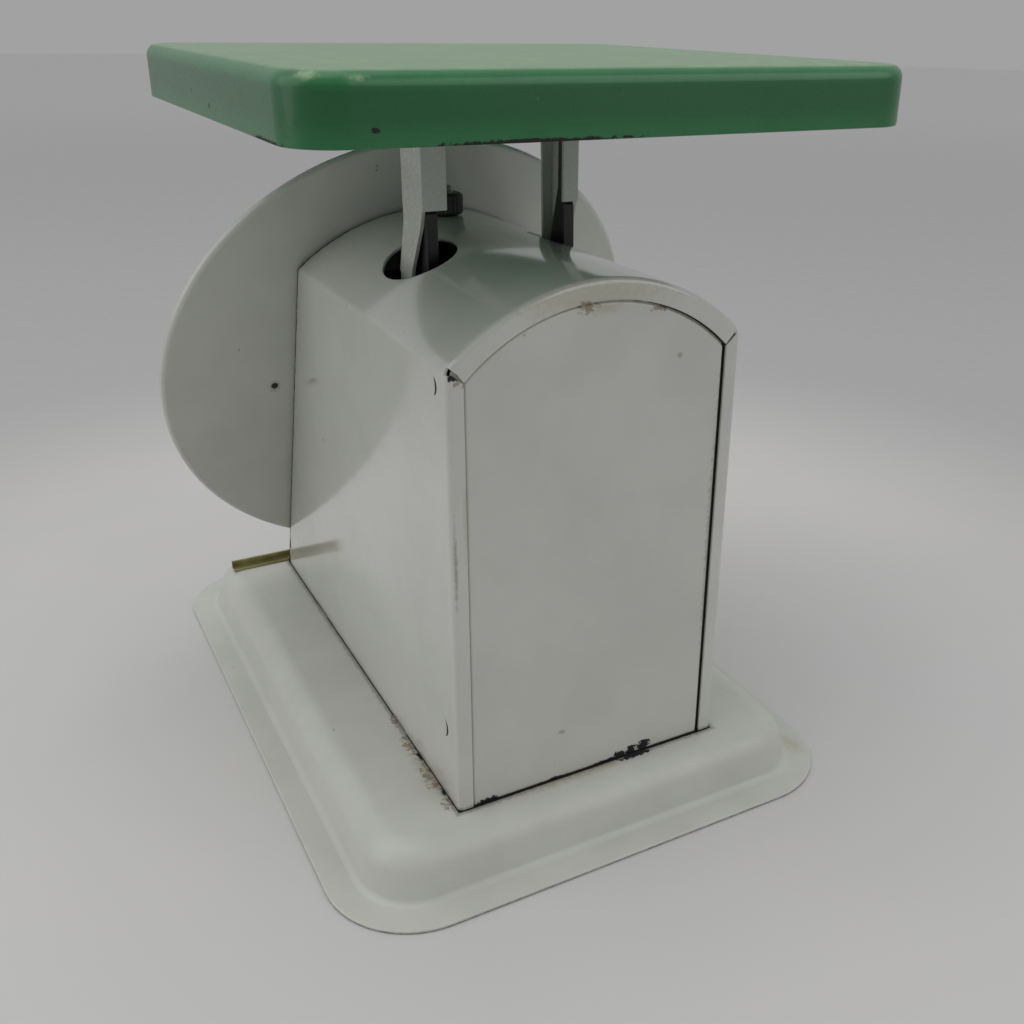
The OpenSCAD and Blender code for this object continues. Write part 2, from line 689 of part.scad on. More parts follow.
// Side view of the flared tongue, drawn as [x, z]
module tongue_section() polygon([
    [web_x, flange_end + 1], [web_x + web_t, flange_end + 1], [web_x + web_t, 177],
    [web_x + web_t + flare, 162], [web_x + web_t + flare, tongue_low],
    [web_x + flare, tongue_low], [web_x + flare, 162.2], [web_x, 177.2]
]);

// Side view of the front flange, which runs on beside the tongue, drawn as [x, z]
module front_flange(reach) polygon([
    [web_x + web_t - reach, post_top], [web_x + web_t - 0.1, post_top], [web_x + web_t - 0.1, 177],
    [web_x + web_t + flare - 0.1, flange_low], [web_x + web_t - reach + 1, flange_low]
]);

module post_side(reach) difference() {
    union() {
        translate([web_x, post_y - post_half, flange_end]) cube([web_t, 2 * post_half, post_top - flange_end]);
        translate([web_x + web_t - reach, post_y + post_half - web_t, flange_end])
            cube([reach - 0.1, web_t, post_top - flange_end]);
        back_plate(post_y - post_half, web_t) front_flange(reach);
        translate([web_x + web_t - 14, post_y - post_half, post_top - web_t]) cube([14, 2 * post_half, web_t]);
        intersection() {
            back_plate(post_y - post_half, 2 * post_half) tongue_section();
            side_plate(web_x - 1, 10) polygon([
                [post_y - 7.1, flange_end + 2], [post_y - 7.1, tongue_low - 1],
                [post_y + 1.5, tongue_low - 1], [post_y + 2, 164], [post_y + 7.1, flange_end - 1],
                [post_y + 7.1, flange_end + 2]
            ]);
        }
    }
    for (z = [202, 210]) rod_x(web_x - 2, web_x + 5, post_rivet_y, z, post_rivet_r);
    translate([15.5, post_y, post_top - 5]) cylinder(r = 1.5, h = 10);
}

module post_left() color(enamel_white) post_side(flange_reach[0]);

module post_right() color(enamel_white) mirror([1, 0, 0]) post_side(flange_reach[1]);

module post_rivets() color(enamel_white) both_sides() for (z = [202, 210]) {
    rod_x(arm_x - 0.8, arm_x, post_rivet_y, z, 1.8);
    rod_x(arm_x, web_x + web_t, post_rivet_y, z, post_rivet_r);
    rod_x(web_x + web_t, web_x + web_t + 0.8, post_rivet_y, z, 1.8);
}

module tray_bracket() color(enamel_white) difference() {
    translate([-web_x - web_t, post_y - post_half, post_top])
        cube([2 * (web_x + web_t), 2 * post_half, bracket_t]);
    both_sides() translate([15.5, post_y, post_top - 5]) cylinder(r = 1.5, h = 10);
}

module tray_rivets() color(steel) both_sides() translate([15.5, post_y, 0]) {
    translate([0, 0, post_top - web_t - 0.9]) cylinder(r = 2.6, h = 0.9);
    translate([0, 0, post_top - web_t]) cylinder(r = 1.5, h = web_t + bracket_t);
}

tray_bend = 3.5;
tray_core = tray_w / 2 - tray_corner;
function tray_section() = concat(
    [[0, tray_z]],
    arc([tray_corner - tray_bend, tray_z - tray_bend], tray_bend, 90, 0, 6),
    [[tray_corner, tray_z - tray_skirt], [tray_corner - tray_sheet, tray_z - tray_skirt]],
    arc([tray_corner - tray_bend, tray_z - tray_bend], tray_bend - tray_sheet, 0, 90, 6),
    [[0, tray_z - tray_sheet]]
);

module tray() color(enamel_green) translate([0, tray_y, 0]) {
    for (q = [0:3]) rotate([0, 0, 90 * q]) {
        translate([tray_core, tray_core, 0]) rotate_extrude(angle = 90) polygon(tray_section());
        translate([tray_core, tray_core, 0]) rotate([90, 0, 0]) linear_extrude(2 * tray_core) polygon(tray_section());
    }
    translate([-tray_core, -tray_core, tray_z - tray_sheet]) cube([2 * tray_core, 2 * tray_core, tray_sheet]);
}

module spring_hanger() color(black_paint) difference() {
    union() {
        translate([-20, knob_y - 4, hanger_z]) cube([40, 8, hanger_t]);
        both_sides() difference() {
            translate([spring_x - ear_t / 2, knob_y - 4, upper_hook_z - 3.2])
                cube([ear_t, 8, hanger_z + 1 - upper_hook_z + 3.2]);
            rod_x(spring_x - 2, spring_x + 2, knob_y, upper_hook_z, ear_hole_r);
        }
    }
    translate([0, knob_y, hanger_z - 1]) cylinder(r = rod_r, h = 10);
}

module adjusting_rod() color(steel) translate([0, knob_y, 0]) {
    translate([0, 0, hanger_z - 1.5]) cylinder(r = 4, h = 1.5);
    translate([0, 0, hanger_z]) cylinder(r = rod_r, h = rod_top - hanger_z - 0.8);
    translate([0, 0, rod_top - 0.8]) cylinder(r1 = rod_r, r2 = rod_r - 0.8, h = 0.8);
}

knurls = 24;

module zero_knob() color(black_paint) translate([0, knob_y, 0]) difference() {
    union() {
        translate([0, 0, knob_z]) linear_extrude(knob_h)
            polygon([for (i = [0:2 * knurls - 1]) (knob_r - (i % 2) * 0.5) * [cos(180 * i / knurls), sin(180 * i / knurls)]]);
        translate([0, 0, bridge_z + bridge_t]) cylinder(r = sleeve_r, h = knob_z - bridge_z - bridge_t + 1);
    }
    translate([0, 0, bridge_z]) cylinder(r = rod_r + run_gap, h = 60);
}

base_pan();
trim_strip();
trim_rivets();
housing_shell();
back_panel();
front_plate();
dial_pan();
dial_plate();
dial_rivets();
pan_rivets();
bezel_ring();
front_bush();
bearing_bracket();
bracket_rivets();
rack_guide();
frame_left();
frame_right();
frame_rivets();
top_bridge();
bridge_rivets();
frame_pins();
pinion_shaft();
pointer();
pointer_hub();
rack();
upper_link();
lower_link();
carriage_plate();
arm_left();
arm_right();
arm_rivets();
carriage_pins();
spring_left();
spring_right();
post_left();
post_right();
post_rivets();
tray_bracket();
tray_rivets();
tray();
spring_hanger();
adjusting_rod();
zero_knob();
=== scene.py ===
"""Looks of a spring kitchen scale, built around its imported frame.

Folded and pressed sheet metal, the printed dial, the knurled knob, the threaded rod and the two
springs are modelled here as fine meshes; the other parts keep their CAD shape with softened edges.
Points inside the helper functions are in millimetres, in the CAD frame: +Z up, -Y the dial side.
"""

import json
import math

import bmesh
import bpy
from mathutils import Matrix, Vector

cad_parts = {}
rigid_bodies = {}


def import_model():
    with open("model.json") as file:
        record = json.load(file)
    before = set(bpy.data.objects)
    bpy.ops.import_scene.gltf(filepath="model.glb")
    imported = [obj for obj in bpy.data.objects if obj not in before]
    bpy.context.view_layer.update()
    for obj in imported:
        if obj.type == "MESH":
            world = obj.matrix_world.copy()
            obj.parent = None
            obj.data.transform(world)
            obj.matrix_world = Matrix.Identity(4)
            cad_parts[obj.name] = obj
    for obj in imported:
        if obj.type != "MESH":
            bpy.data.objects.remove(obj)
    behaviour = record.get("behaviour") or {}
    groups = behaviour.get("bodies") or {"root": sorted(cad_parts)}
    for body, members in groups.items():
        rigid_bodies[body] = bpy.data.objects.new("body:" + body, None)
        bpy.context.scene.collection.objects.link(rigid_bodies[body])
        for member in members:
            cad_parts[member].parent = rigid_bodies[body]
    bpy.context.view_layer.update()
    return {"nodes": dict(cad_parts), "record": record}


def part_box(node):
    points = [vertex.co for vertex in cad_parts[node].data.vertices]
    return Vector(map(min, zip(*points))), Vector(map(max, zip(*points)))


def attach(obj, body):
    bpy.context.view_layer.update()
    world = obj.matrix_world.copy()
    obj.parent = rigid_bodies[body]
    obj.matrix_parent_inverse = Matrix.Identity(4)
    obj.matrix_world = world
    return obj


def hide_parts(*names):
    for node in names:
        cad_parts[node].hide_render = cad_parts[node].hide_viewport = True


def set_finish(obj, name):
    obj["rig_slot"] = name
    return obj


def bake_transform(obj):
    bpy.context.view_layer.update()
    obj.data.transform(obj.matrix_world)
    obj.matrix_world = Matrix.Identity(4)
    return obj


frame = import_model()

MM = 0.001


def box_mm(node):
    """Lowest and highest corner of a CAD node, in millimetres."""
    low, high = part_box(node)
    return low / MM, high / MM


# ---- sizes, in millimetres

PAN_HIGH = box_mm("base_pan")[1]
SHELL_LOW, SHELL_HIGH = box_mm("housing_shell")
PANEL_LOW, PANEL_HIGH = box_mm("back_panel")
TRAY_LOW, TRAY_HIGH = box_mm("tray")
KNOB_LOW, KNOB_HIGH = box_mm("zero_knob")
ROD_LOW, ROD_HIGH = box_mm("adjusting_rod")
DIAL_HIGH = box_mm("dial_pan")[1]

BASE_TOP = PAN_HIGH.z
BASE_CORNER = 28
BASE_SHEET = 1.2
BASE_ROLL = 10
BASE_FOOT = 2.5
BASE_SLOPE = 15
BASE_LIP = 7.6

HALF = SHELL_HIGH.x
BACK = SHELL_HIGH.y
CROWN = SHELL_HIGH.z
FLOOR = PANEL_LOW.z - 0.3
SHEET = 1.0
ARCH_RISE = 19.3
ARCH_R = (HALF * HALF + ARCH_RISE * ARCH_RISE) / (2 * ARCH_RISE)
ARCH_Z = CROWN - ARCH_R
EAVE_FILLET = 3.0
SIDE_FLANGE = 4.8
ARCH_FLANGE = 6.0
FOLD = 1.7
LEAN = math.radians(21)
FRONT_TOP_Y = -35.5
FRONT_STEPS = 9
PANEL_SHIFT = 0.35
PANEL_GAP = 0.5
PANEL_CORNER = 1.5
PANEL_RIM_CORNER = 7
PANEL_MIDDLE_Z = 92
POST_HOLE = (24.5, 25.6, 10.5, 15.5)
KNOB_HOLE = (0.0, -11.0, 4.0, 4.0)
TAB_PLACES = (-40, 45)
LANCE_Y = 86.0
LANCE_BOW = 1.6
LANCE_PLACES = ((147.6, 5.0), (42.2, 5.6))

TRAY_CORNER = 13
TRAY_BEND = 3.5
TRAY_SHEET = 1.0
TRAY_Y = (TRAY_LOW.y + TRAY_HIGH.y) / 2

DIAL_R = DIAL_HIGH.x
DIAL_CENTRE = Vector((0, -52.275, 109.8))
DIAL_UP = Vector((0, math.sin(LEAN), math.cos(LEAN)))
DIAL_OUT = Vector((0, -math.cos(LEAN), math.sin(LEAN)))
DIAL_PAN_Z = 0.2
DIAL_STEPS = 160
RIM_ROLL = 1.8
RIM_TOP = 2.8
RING_IN = 86.5
BORE_R = 3.9
RIVET_X = 52.7
RIVET_Y = -2.8
PRINT_Z = 1.9
SCALE_R = 83.2
FINE_R = 66.4
FULL_TURN = 319.0

ROD_Y = -11.0
ROD_R = 2.5
THREAD_PITCH = 0.8
KNOB_Z = CROWN + 0.4

SPRING_X = 14.0
SPRING_R = 6.0
WIRE_R = 0.9
SPRING_COILS = 19
COIL_PITCH = 2.1
HOOK_R = 5.6
ELBOW_R = 1.6
UPPER_HOOK_Z = 130.0
HOOK_GRIP = 1.6


# ---- mesh helpers

def arc(centre, radius, start, end, steps):
    """Points on an arc, with its angles in degrees."""
    turns = [math.radians(start + (end - start) * i / steps) for i in range(steps + 1)]
    return [(centre[0] + radius * math.cos(t), centre[1] + radius * math.sin(t)) for t in turns]


def spread(start, end, steps):
    """Evenly spaced values, both ends included."""
    return [start + (end - start) * i / steps for i in range(steps + 1)]


def mix(a, b, share):
    """Point between two points."""
    return tuple(p + (q - p) * share for p, q in zip(a, b))


def quads(rows, closed=False, skip=lambda i, k: False):
    """Points and quads between rows of points; closed also joins the last row to the first."""
    wide, tall = len(rows[0]), len(rows)
    faces = []
    for i in range(tall if closed else tall - 1):
        for k in range(wide - 1):
            if not skip(i, k):
                j = (i + 1) % tall
                faces.append((i * wide + k, i * wide + k + 1, j * wide + k + 1, j * wide + k))
    return [p for row in rows for p in row], faces


def welded(parts, weld):
    """Mesh under construction from (points, faces) parts, with points closer than weld joined."""
    shape = bmesh.new()
    for points, faces in parts:
        corners = [shape.verts.new(Vector(p) * MM) for p in points]
        for face in faces:
            shape.faces.new([corners[i] for i in face])
    bmesh.ops.remove_doubles(shape, verts=shape.verts, dist=weld * MM)
    return shape


def placed(name, data):
    """New object in the scene."""
    made = bpy.data.objects.new(name, data)
    bpy.context.scene.collection.objects.link(made)
    return made


def meshed(name, shape):
    """New object from a finished mesh under construction."""
    mesh = bpy.data.meshes.new(name)
    shape.to_mesh(mesh)
    shape.free()
    return placed(name, mesh)


def piece(name, *parts, body="base", slot="white_enamel", inside=None, weld=0.003):
    """One smooth mesh object from (points, faces) parts, riding on a CAD body.

    inside is a point behind an open sheet, which turns its faces outward."""
    shape = welded(parts, weld)
    bmesh.ops.dissolve_degenerate(shape, edges=shape.edges, dist=1e-7)
    bmesh.ops.recalc_face_normals(shape, faces=shape.faces)
    if inside is not None:
        behind = Vector(inside) * MM
        facing = sum(f.normal.dot(f.calc_center_median() - behind) for f in shape.faces)
        if facing < 0:
            bmesh.ops.reverse_faces(shape, faces=shape.faces)
    for face in shape.faces:
        face.smooth = True
    made = meshed(name, shape)
    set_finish(made, slot)
    if body:
        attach(made, body)
    return made


def thicken(made, thickness):
    """Gives an open sheet its thickness, inward from its outer face."""
    sheet = made.modifiers.new("sheet", "SOLIDIFY")
    sheet.thickness = thickness * MM
    sheet.offset = -1
    sheet.use_even_offset = True


def soften(made, width, segments=2, weld=False, angle=32):
    """Rounds the edges of a mesh and keeps its flats flat."""
    if weld:
        joined = made.modifiers.new("weld", "WELD")
        joined.merge_threshold = 1e-6
    bevel = made.modifiers.new("edges", "BEVEL")
    bevel.width = width * MM
    bevel.segments = segments
    bevel.limit_method = "ANGLE"
    bevel.angle_limit = math.radians(angle)
    level(made)


def level(made):
    """Weights the normals by face area, so that broad faces shade flat."""
    normals = made.modifiers.new("normals", "WEIGHTED_NORMAL")
    normals.weight = 50
    normals.keep_sharp = False


def lathe(section, steps, place):
    """Turns an open or closed (radius, height) section round the local Z axis."""
    rows = []
    for i in range(steps):
        turn = 2 * math.pi * i / steps
        rows.append([place(r * math.cos(turn), r * math.sin(turn), h) for r, h in section])
    return quads(rows, closed=True)


def on_dial(x, y, z):
    """A point of the dial: x across it, y up its face, z out along its normal."""
    return tuple(DIAL_CENTRE + Vector((x, 0, 0)) + DIAL_UP * y + DIAL_OUT * z)


# ---- pressed pans

def pressed_pan(section, half_x, half_y, corner, centre_y, steps=14, cell=7.5):
    """Sweeps a (distance from the core, height) section round a rounded rectangle and fills the core.

    The section starts on the core's outline with the outer face and ends on it with the inner face."""
    core_x, core_y = half_x - corner, half_y - corner
    cells_x = round(2 * core_x / cell)
    cells_y = round(2 * core_y / cell)
    corners = [(core_x, core_y), (-core_x, core_y), (-core_x, -core_y), (core_x, -core_y)]
    stations = []
    for quarter, spot in enumerate(corners):
        for turn in spread(90 * quarter, 90 * quarter + 90, steps):
            stations.append((spot, math.radians(turn)))
        after = corners[(quarter + 1) % 4]
        cells = cells_x if quarter % 2 == 0 else cells_y
        for i in range(1, cells):
            stations.append((mix(spot, after, i / cells), math.radians(90 * quarter + 90)))
    rows = []
    for (x, y), turn in stations:
        out_x, out_y = math.cos(turn), math.sin(turn)
        rows.append([(x + u * out_x, centre_y + y + u * out_y, z) for u, z in section])
    parts = [quads(rows, closed=True)]
    for height in (section[0][1], section[-1][1]):
        parts.append(quads([
            [(x, centre_y + y, height) for x in spread(-core_x, core_x, cells_x)]
            for y in spread(-core_y, core_y, cells_y)
        ]))
    return parts


def base_section():
    """Section of the base pan: flat top, rolled shoulder, steep wall, foot radius and flat lip."""
    slope = math.radians(BASE_SLOPE)
    reach = BASE_ROLL + BASE_FOOT
    foot = (BASE_CORNER - BASE_LIP, BASE_SHEET + BASE_FOOT)
    drop = BASE_TOP - BASE_SHEET - reach * (1 - math.sin(slope))
    roll = (foot[0] - reach * math.cos(slope) - drop * math.tan(slope), BASE_TOP - BASE_ROLL)
    edge = 0.45

    def skin(inset):
        return (arc(roll, BASE_ROLL - inset, 90, BASE_SLOPE, 12)
                + arc(foot, BASE_FOOT + inset, 180 + BASE_SLOPE, 270, 6))

    return ([(0, BASE_TOP)] + skin(0)
            + arc((BASE_CORNER - edge, BASE_SHEET - edge), edge, 90, 0, 3)
            + arc((BASE_CORNER - edge, edge), edge, 0, -90, 3)
            + skin(BASE_SHEET)[::-1] + [(0, BASE_TOP - BASE_SHEET)])


def tray_section():
    """Section of the tray: flat top, bend and straight skirt with a rounded edge."""
    top = TRAY_HIGH.z
    bend = (TRAY_CORNER - TRAY_BEND, top - TRAY_BEND)
    edge = TRAY_SHEET / 2
    hem = (TRAY_CORNER - edge, TRAY_LOW.z + edge)
    return ([(0, top)] + arc(bend, TRAY_BEND, 90, 0, 8)
            + arc(hem, edge, 0, -180, 4)
            + arc(bend, TRAY_BEND - TRAY_SHEET, 0, 90, 8) + [(0, top - TRAY_SHEET)])


def make_pans():
    """Base pan and tray; returns the base, which gets a worn material of its own."""
    base = piece("base_shell", *pressed_pan(
        base_section(), PAN_HIGH.x, PAN_HIGH.y, BASE_CORNER, 0))
    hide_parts("base_pan")
    level(base)
    tray = piece("tray_shell", *pressed_pan(
        tray_section(), TRAY_HIGH.x, (TRAY_HIGH.y - TRAY_LOW.y) / 2, TRAY_CORNER, TRAY_Y),
        body="carriage", slot="green_enamel")
    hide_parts("tray")
    level(tray)
    return base


# ---- housing

def roof_z(x):
    """Height of the arched top over a point."""
    return ARCH_Z + math.sqrt(ARCH_R * ARCH_R - x * x)


def eave_centre():
    """Centre of the fillet between side and arch, and its angle seen from the arch's centre."""
    reach = ARCH_R - EAVE_FILLET
    x = HALF - EAVE_FILLET
    rise = math.sqrt(reach * reach - x * x)
    return (x, ARCH_Z + rise), math.degrees(math.atan2(rise, x))


def right_profile():
    """Half of the housing's outline from the base up to the crown: (x, z, outward x, outward z)."""
    (cx, cz), lean = eave_centre()
    side = [(HALF, z, 1, 0) for z in spread(FLOOR, cz, 42)]
    fillet = [
        (x, z, (x - cx) / EAVE_FILLET, (z - cz) / EAVE_FILLET)
        for x, z in arc((cx, cz), EAVE_FILLET, 0, lean, 6)[1:]
    ]
    joint_x = ARCH_R * math.cos(math.radians(lean))
    hx, hw = POST_HOLE[0], POST_HOLE[2] + 3
    marks = [joint_x, hx + hw, hx - hw, 7.0, 0.0]
    steps = [4, 18, 3, 5]
    roof = []
    for start, end, count in zip(marks, marks[1:], steps):
        roof += [(x, roof_z(x), x / ARCH_R, (roof_z(x) - ARCH_Z) / ARCH_R)
                 for x in spread(start, end, count)[1:]]
    return side, fillet, roof


def mirrored(stations):
    """The same outline on the -X side, in the order that carries the path on."""
    return [(-x, z, -nx, nz) for x, z, nx, nz in stations[::-1]]


def hole_patch(hole, margin, rows_y, columns_x):
    """Roof patch between an oval hole and the grid lines round it, as rings of points."""
    cx, cy, hx, hy = hole
    border = ([(x, rows_y[0]) for x in columns_x] + [(columns_x[-1], y) for y in rows_y[1:]]
              + [(x, rows_y[-1]) for x in columns_x[-2::-1]]
              + [(columns_x[0], y) for y in rows_y[-2:0:-1]])
    rows = []
    for x, y in border:
        turn = math.atan2((y - cy) / hy, (x - cx) / hx)
        rim = (cx + hx * math.cos(turn), cy + hy * math.sin(turn))
        ring = [mix(rim, (x, y), share ** 1.2) for share in spread(0, 1, margin)]
        rows.append([(px, py, roof_z(px)) for px, py in ring])
    return quads(rows, closed=True)


def housing_rows():
    """Y positions of the roof's grid behind its slanted front edge, and the two holes' row ranges."""
    knob = spread(KNOB_HOLE[1] - 7, KNOB_HOLE[1] + 7, 8)
    post = spread(POST_HOLE[1] - POST_HOLE[3] - 3, POST_HOLE[1] + POST_HOLE[3] + 3, 24)
    between = spread(knob[-1], post[0], 5)[1:-1]
    behind = spread(post[-1], BACK - FOLD, 22)[1:]
    return knob, knob + between + post + behind, post


def flange_strip(outline, inner, reach):
    """Fold at the back edge and the flange behind it, out to the inner edge's points."""
    rows = []
    for (x, z, nx, nz), goal in zip(outline, inner):
        row = []
        for turn in spread(0, 90, 5):
            t = math.radians(turn)
            inset = FOLD * (1 - math.cos(t))
            row.append((x - nx * inset, BACK - FOLD + FOLD * math.sin(t), z - nz * inset))
        last = row[-1]
        row += [mix(last, (goal[0], BACK, goal[1]), s) for s in spread(0, 1, reach)[1:]]
        rows.append(row)
    return quads(rows)


def even_points(points, count):
    """Points evenly spaced along a polyline."""
    lengths = [0.0]
    for a, b in zip(points, points[1:]):
        lengths.append(lengths[-1] + math.dist(a, b))
    found = []
    for goal in spread(0, lengths[-1], count - 1):
        k = max(i for i in range(len(points) - 1) if lengths[i] <= goal + 1e-9)
        run = lengths[k + 1] - lengths[k]
        found.append(mix(points[k], points[k + 1], (goal - lengths[k]) / run))
    return found


def wrap_parts(outline, roof):
    """Sides and arched top as one grid, with a patch round each post hole and the knob hole."""
    knob_rows, straight_rows, post_rows = housing_rows()
    rows = []
    for x, z, _, _ in outline:
        front = FRONT_TOP_Y - (CROWN - ARCH_RISE - z) * math.tan(LEAN)
        ys = spread(front, straight_rows[0], FRONT_STEPS)[:-1] + straight_rows
        rows.append([(x, y, z) for y in ys])

    def in_hole(i, k):
        x = (rows[i][k][0] + rows[i + 1][k][0]) / 2
        y = (rows[i][k][1] + rows[i][k + 1][1]) / 2
        if rows[i][k][2] < ARCH_Z + ARCH_R / 2 or k < FRONT_STEPS:
            return False
        by_post = (abs(abs(x) - POST_HOLE[0]) < POST_HOLE[2] + 3
                   and post_rows[0] < y < post_rows[-1])
        by_knob = abs(x) < 7 and knob_rows[0] < y < knob_rows[-1]
        return by_post or by_knob

    roof_x = [s[0] for s in roof]
    post_x = [x for x in roof_x if abs(x - POST_HOLE[0]) < POST_HOLE[2] + 3.01][::-1]
    knob_x = [x for x in roof_x if x < 7.01]
    knob_x = [-x for x in knob_x[:-1]] + knob_x[::-1]
    left_hole = (-POST_HOLE[0],) + POST_HOLE[1:]
    return [quads(rows, skip=in_hole),
            hole_patch(POST_HOLE, 5, post_rows, post_x),
            hole_patch(left_hole, 5, post_rows, [-x for x in post_x[::-1]]),
            hole_patch(KNOB_HOLE, 4, knob_rows, knob_x)]


def flange_parts(side, fillet, roof):
    """Flanges behind the two sides and the arch, which meet in mitres at the eaves."""
    inner_r = ARCH_R - ARCH_FLANGE
    inner_x = HALF - SIDE_FLANGE
    inner_z = ARCH_Z + math.sqrt(inner_r * inner_r - inner_x * inner_x)
    gap, gap_turn = 0.25, 0.25
    side_inner = even_points([(inner_x, FLOOR), (inner_x, inner_z - gap)], len(side))
    arch_outline = [fillet[-1]] + roof + mirrored([fillet[-1]] + roof[:-1])
    lean = math.degrees(math.atan2(inner_z - ARCH_Z, inner_x)) + gap_turn
    arch_inner = even_points(arc((0, ARCH_Z), inner_r, lean, 180 - lean, 60), len(arch_outline))
    return [flange_strip(side, side_inner, 3),
            flange_strip(mirrored(side), [(-x, z) for x, z in side_inner[::-1]], 3),
            flange_strip(arch_outline, arch_inner, 4)]


def make_housing():
    """Housing wrapper, folded from one sheet."""
    side, fillet, roof = right_profile()
    outline = side + fillet + roof + mirrored(side + fillet + roof[:-1])
    shell = piece("housing_sheet", *wrap_parts(outline, roof), *flange_parts(side, fillet, roof),
                  inside=(0, 20, 90))
    thicken(shell, SHEET)
    soften(shell, 0.25, angle=50)
    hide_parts("housing_shell")
    return shell


def tab_part(sign, y, length=12):
    """Bent tab that holds the housing under the base pan."""
    low = BASE_TOP - BASE_SHEET - SHEET - 0.1
    section = [(HALF - 6, low), (HALF - 0.8, low), (HALF - 0.23, low + 0.23), (HALF, low + 0.8),
               (HALF, FLOOR + 1), (HALF - SHEET, FLOOR + 1), (HALF - SHEET, low + SHEET),
               (HALF - 6, low + SHEET)]
    rows = [[(sign * x, y + dy, z) for x, z in section + section[:1]]
            for dy in (-length / 2, length / 2)]
    points, faces = quads(rows)
    count = len(section) + 1
    faces += [tuple(range(count - 1)), tuple(range(count, 2 * count - 1))]
    return points, faces


def crescent(sign, y, z, tall, wide):
    """Thin black curve standing just proud of the side: painted shade in the slit of a lanced holding
    tongue.
    """
    steps = 14
    rows = []
    for turn in spread(-90, 90, steps):
        t = math.radians(turn)
        half = 0.55 * math.cos(t) + 0.05
        cy, cz = y + wide * math.cos(t), z + tall / 2 * math.sin(t)
        rows.append([(sign * (HALF + h), cy + d, cz) for d, h in
                     ((-half, -0.2), (-half, 0.02), (half, 0.02), (half, -0.2), (-half, -0.2))])
    return quads(rows)


def make_housing_details():
    """Bent tabs under the base pan, and painted shade in the lanced slits in the sides."""
    tabs = piece("housing_tabs", *[tab_part(s, y) for s in (-1, 1) for y in TAB_PLACES])
    soften(tabs, 0.2)
    slits = [crescent(s, LANCE_Y, z, tall, LANCE_BOW) for s in (-1, 1) for z, tall in LANCE_PLACES]
    piece("lanced_slits", *slits, slot="black_paint")


# ---- back panel

def panel_loop(side, top, corner, low, shift, steps=40):
    """Closed outline of the back panel at an inset from the housing's outline."""
    half, radius = HALF - side, ARCH_R - top
    reach = radius - corner
    cx = half - corner
    rise = math.sqrt(reach * reach - cx * cx)
    lean = math.degrees(math.atan2(rise, cx))
    right = ([(half, z) for z in spread(low, ARCH_Z + rise, 30)]
             + arc((cx, ARCH_Z + rise), corner, 0, lean, 6)[1:])
    top_arc = arc((0, ARCH_Z), radius, lean, 180 - lean, steps)[1:-1]
    left = [(-x, z) for x, z in right[::-1]]
    bottom = [(x, low) for x in spread(-half, half, 24)[1:-1]]
    return [(x + shift, z) for x, z in right + top_arc + left + bottom]


def make_back_panel():
    """Back panel: a rim behind the housing's flange and a raised field with a small bend."""
    rim_y, rim_front = PANEL_LOW.y, PANEL_LOW.y + SHEET
    face_y = PANEL_HIGH.y
    low = PANEL_LOW.z
    side, top = SIDE_FLANGE + PANEL_GAP, ARCH_FLANGE + PANEL_GAP
    bend = 0.8
    rim = panel_loop(SHEET + 0.3, SHEET + 0.3, PANEL_RIM_CORNER, low, 0)
    foot = panel_loop(side, top, PANEL_CORNER, low, PANEL_SHIFT)
    loops = [[(x, rim_y, z) for x, z in rim], [(x, rim_front, z) for x, z in rim],
             [(x, rim_front, z) for x, z in foot]]
    for turn in spread(0, 90, 4):
        t = math.radians(turn)
        inset = bend * (1 - math.cos(t))
        loop = panel_loop(side + inset, top + inset, PANEL_CORNER, low + 0.15 * inset, PANEL_SHIFT)
        loops.append([(x, face_y - bend + bend * math.sin(t), z) for x, z in loop])
    last = loops[-1]
    middle = Vector((PANEL_SHIFT, face_y, PANEL_MIDDLE_Z))
    for share in (0.06, 0.16, 0.3, 0.5, 0.75, 1.0):
        loops.append([tuple(Vector(p).lerp(middle, share)) for p in last])
    back = [(0, rim_y, PANEL_MIDDLE_Z)] * len(rim)
    rows = [back] + loops
    panel = piece("back_panel_sheet", quads([row + row[:1] for row in rows]))
    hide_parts("back_panel")
    level(panel)
    return panel


# ---- dial

def make_dial_pan():
    """Round pan of the dial with its rolled rim."""
    outer = arc((DIAL_R - RIM_ROLL, DIAL_PAN_Z + RIM_ROLL), RIM_ROLL, -90, 0, 12)
    inner = arc((DIAL_R - RIM_ROLL, DIAL_PAN_Z + RIM_ROLL), RIM_ROLL - SHEET, 0, -90, 10)
    floor = [(r, DIAL_PAN_Z) for r in (BORE_R, 12, 25, 40, 55, 70)]
    shelf = [(r, DIAL_PAN_Z + SHEET) for r in (70, 55, 40, 25, 12, BORE_R)]
    section = (floor + outer + [(DIAL_R, RIM_TOP - 0.15), (DIAL_R - 0.15, RIM_TOP)]
               + [(DIAL_R - SHEET, RIM_TOP)] + inner + shelf + floor[:1])
    pan = piece("dial_pan_pressing", lathe(section, DIAL_STEPS, on_dial))
    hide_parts("dial_pan")
    level(pan)
    return pan


def make_ring():
    """Low domed ring over the edge of the dial plate."""
    inner, outer = RING_IN, DIAL_R - SHEET - 0.1
    middle, half = (inner + outer) / 2, (outer - inner) / 2
    crown = [(middle + half * math.cos(math.radians(t)), PRINT_Z + 0.4 + 0.8 * math.sin(math.radians(t)))
             for t in spread(0, 180, 16)]
    section = [(inner, PRINT_Z), (outer, PRINT_Z)] + crown
    ring = piece("dial_ring", lathe(section + section[:1], DIAL_STEPS, on_dial), slot="chrome")
    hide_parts("bezel_ring")
    level(ring)


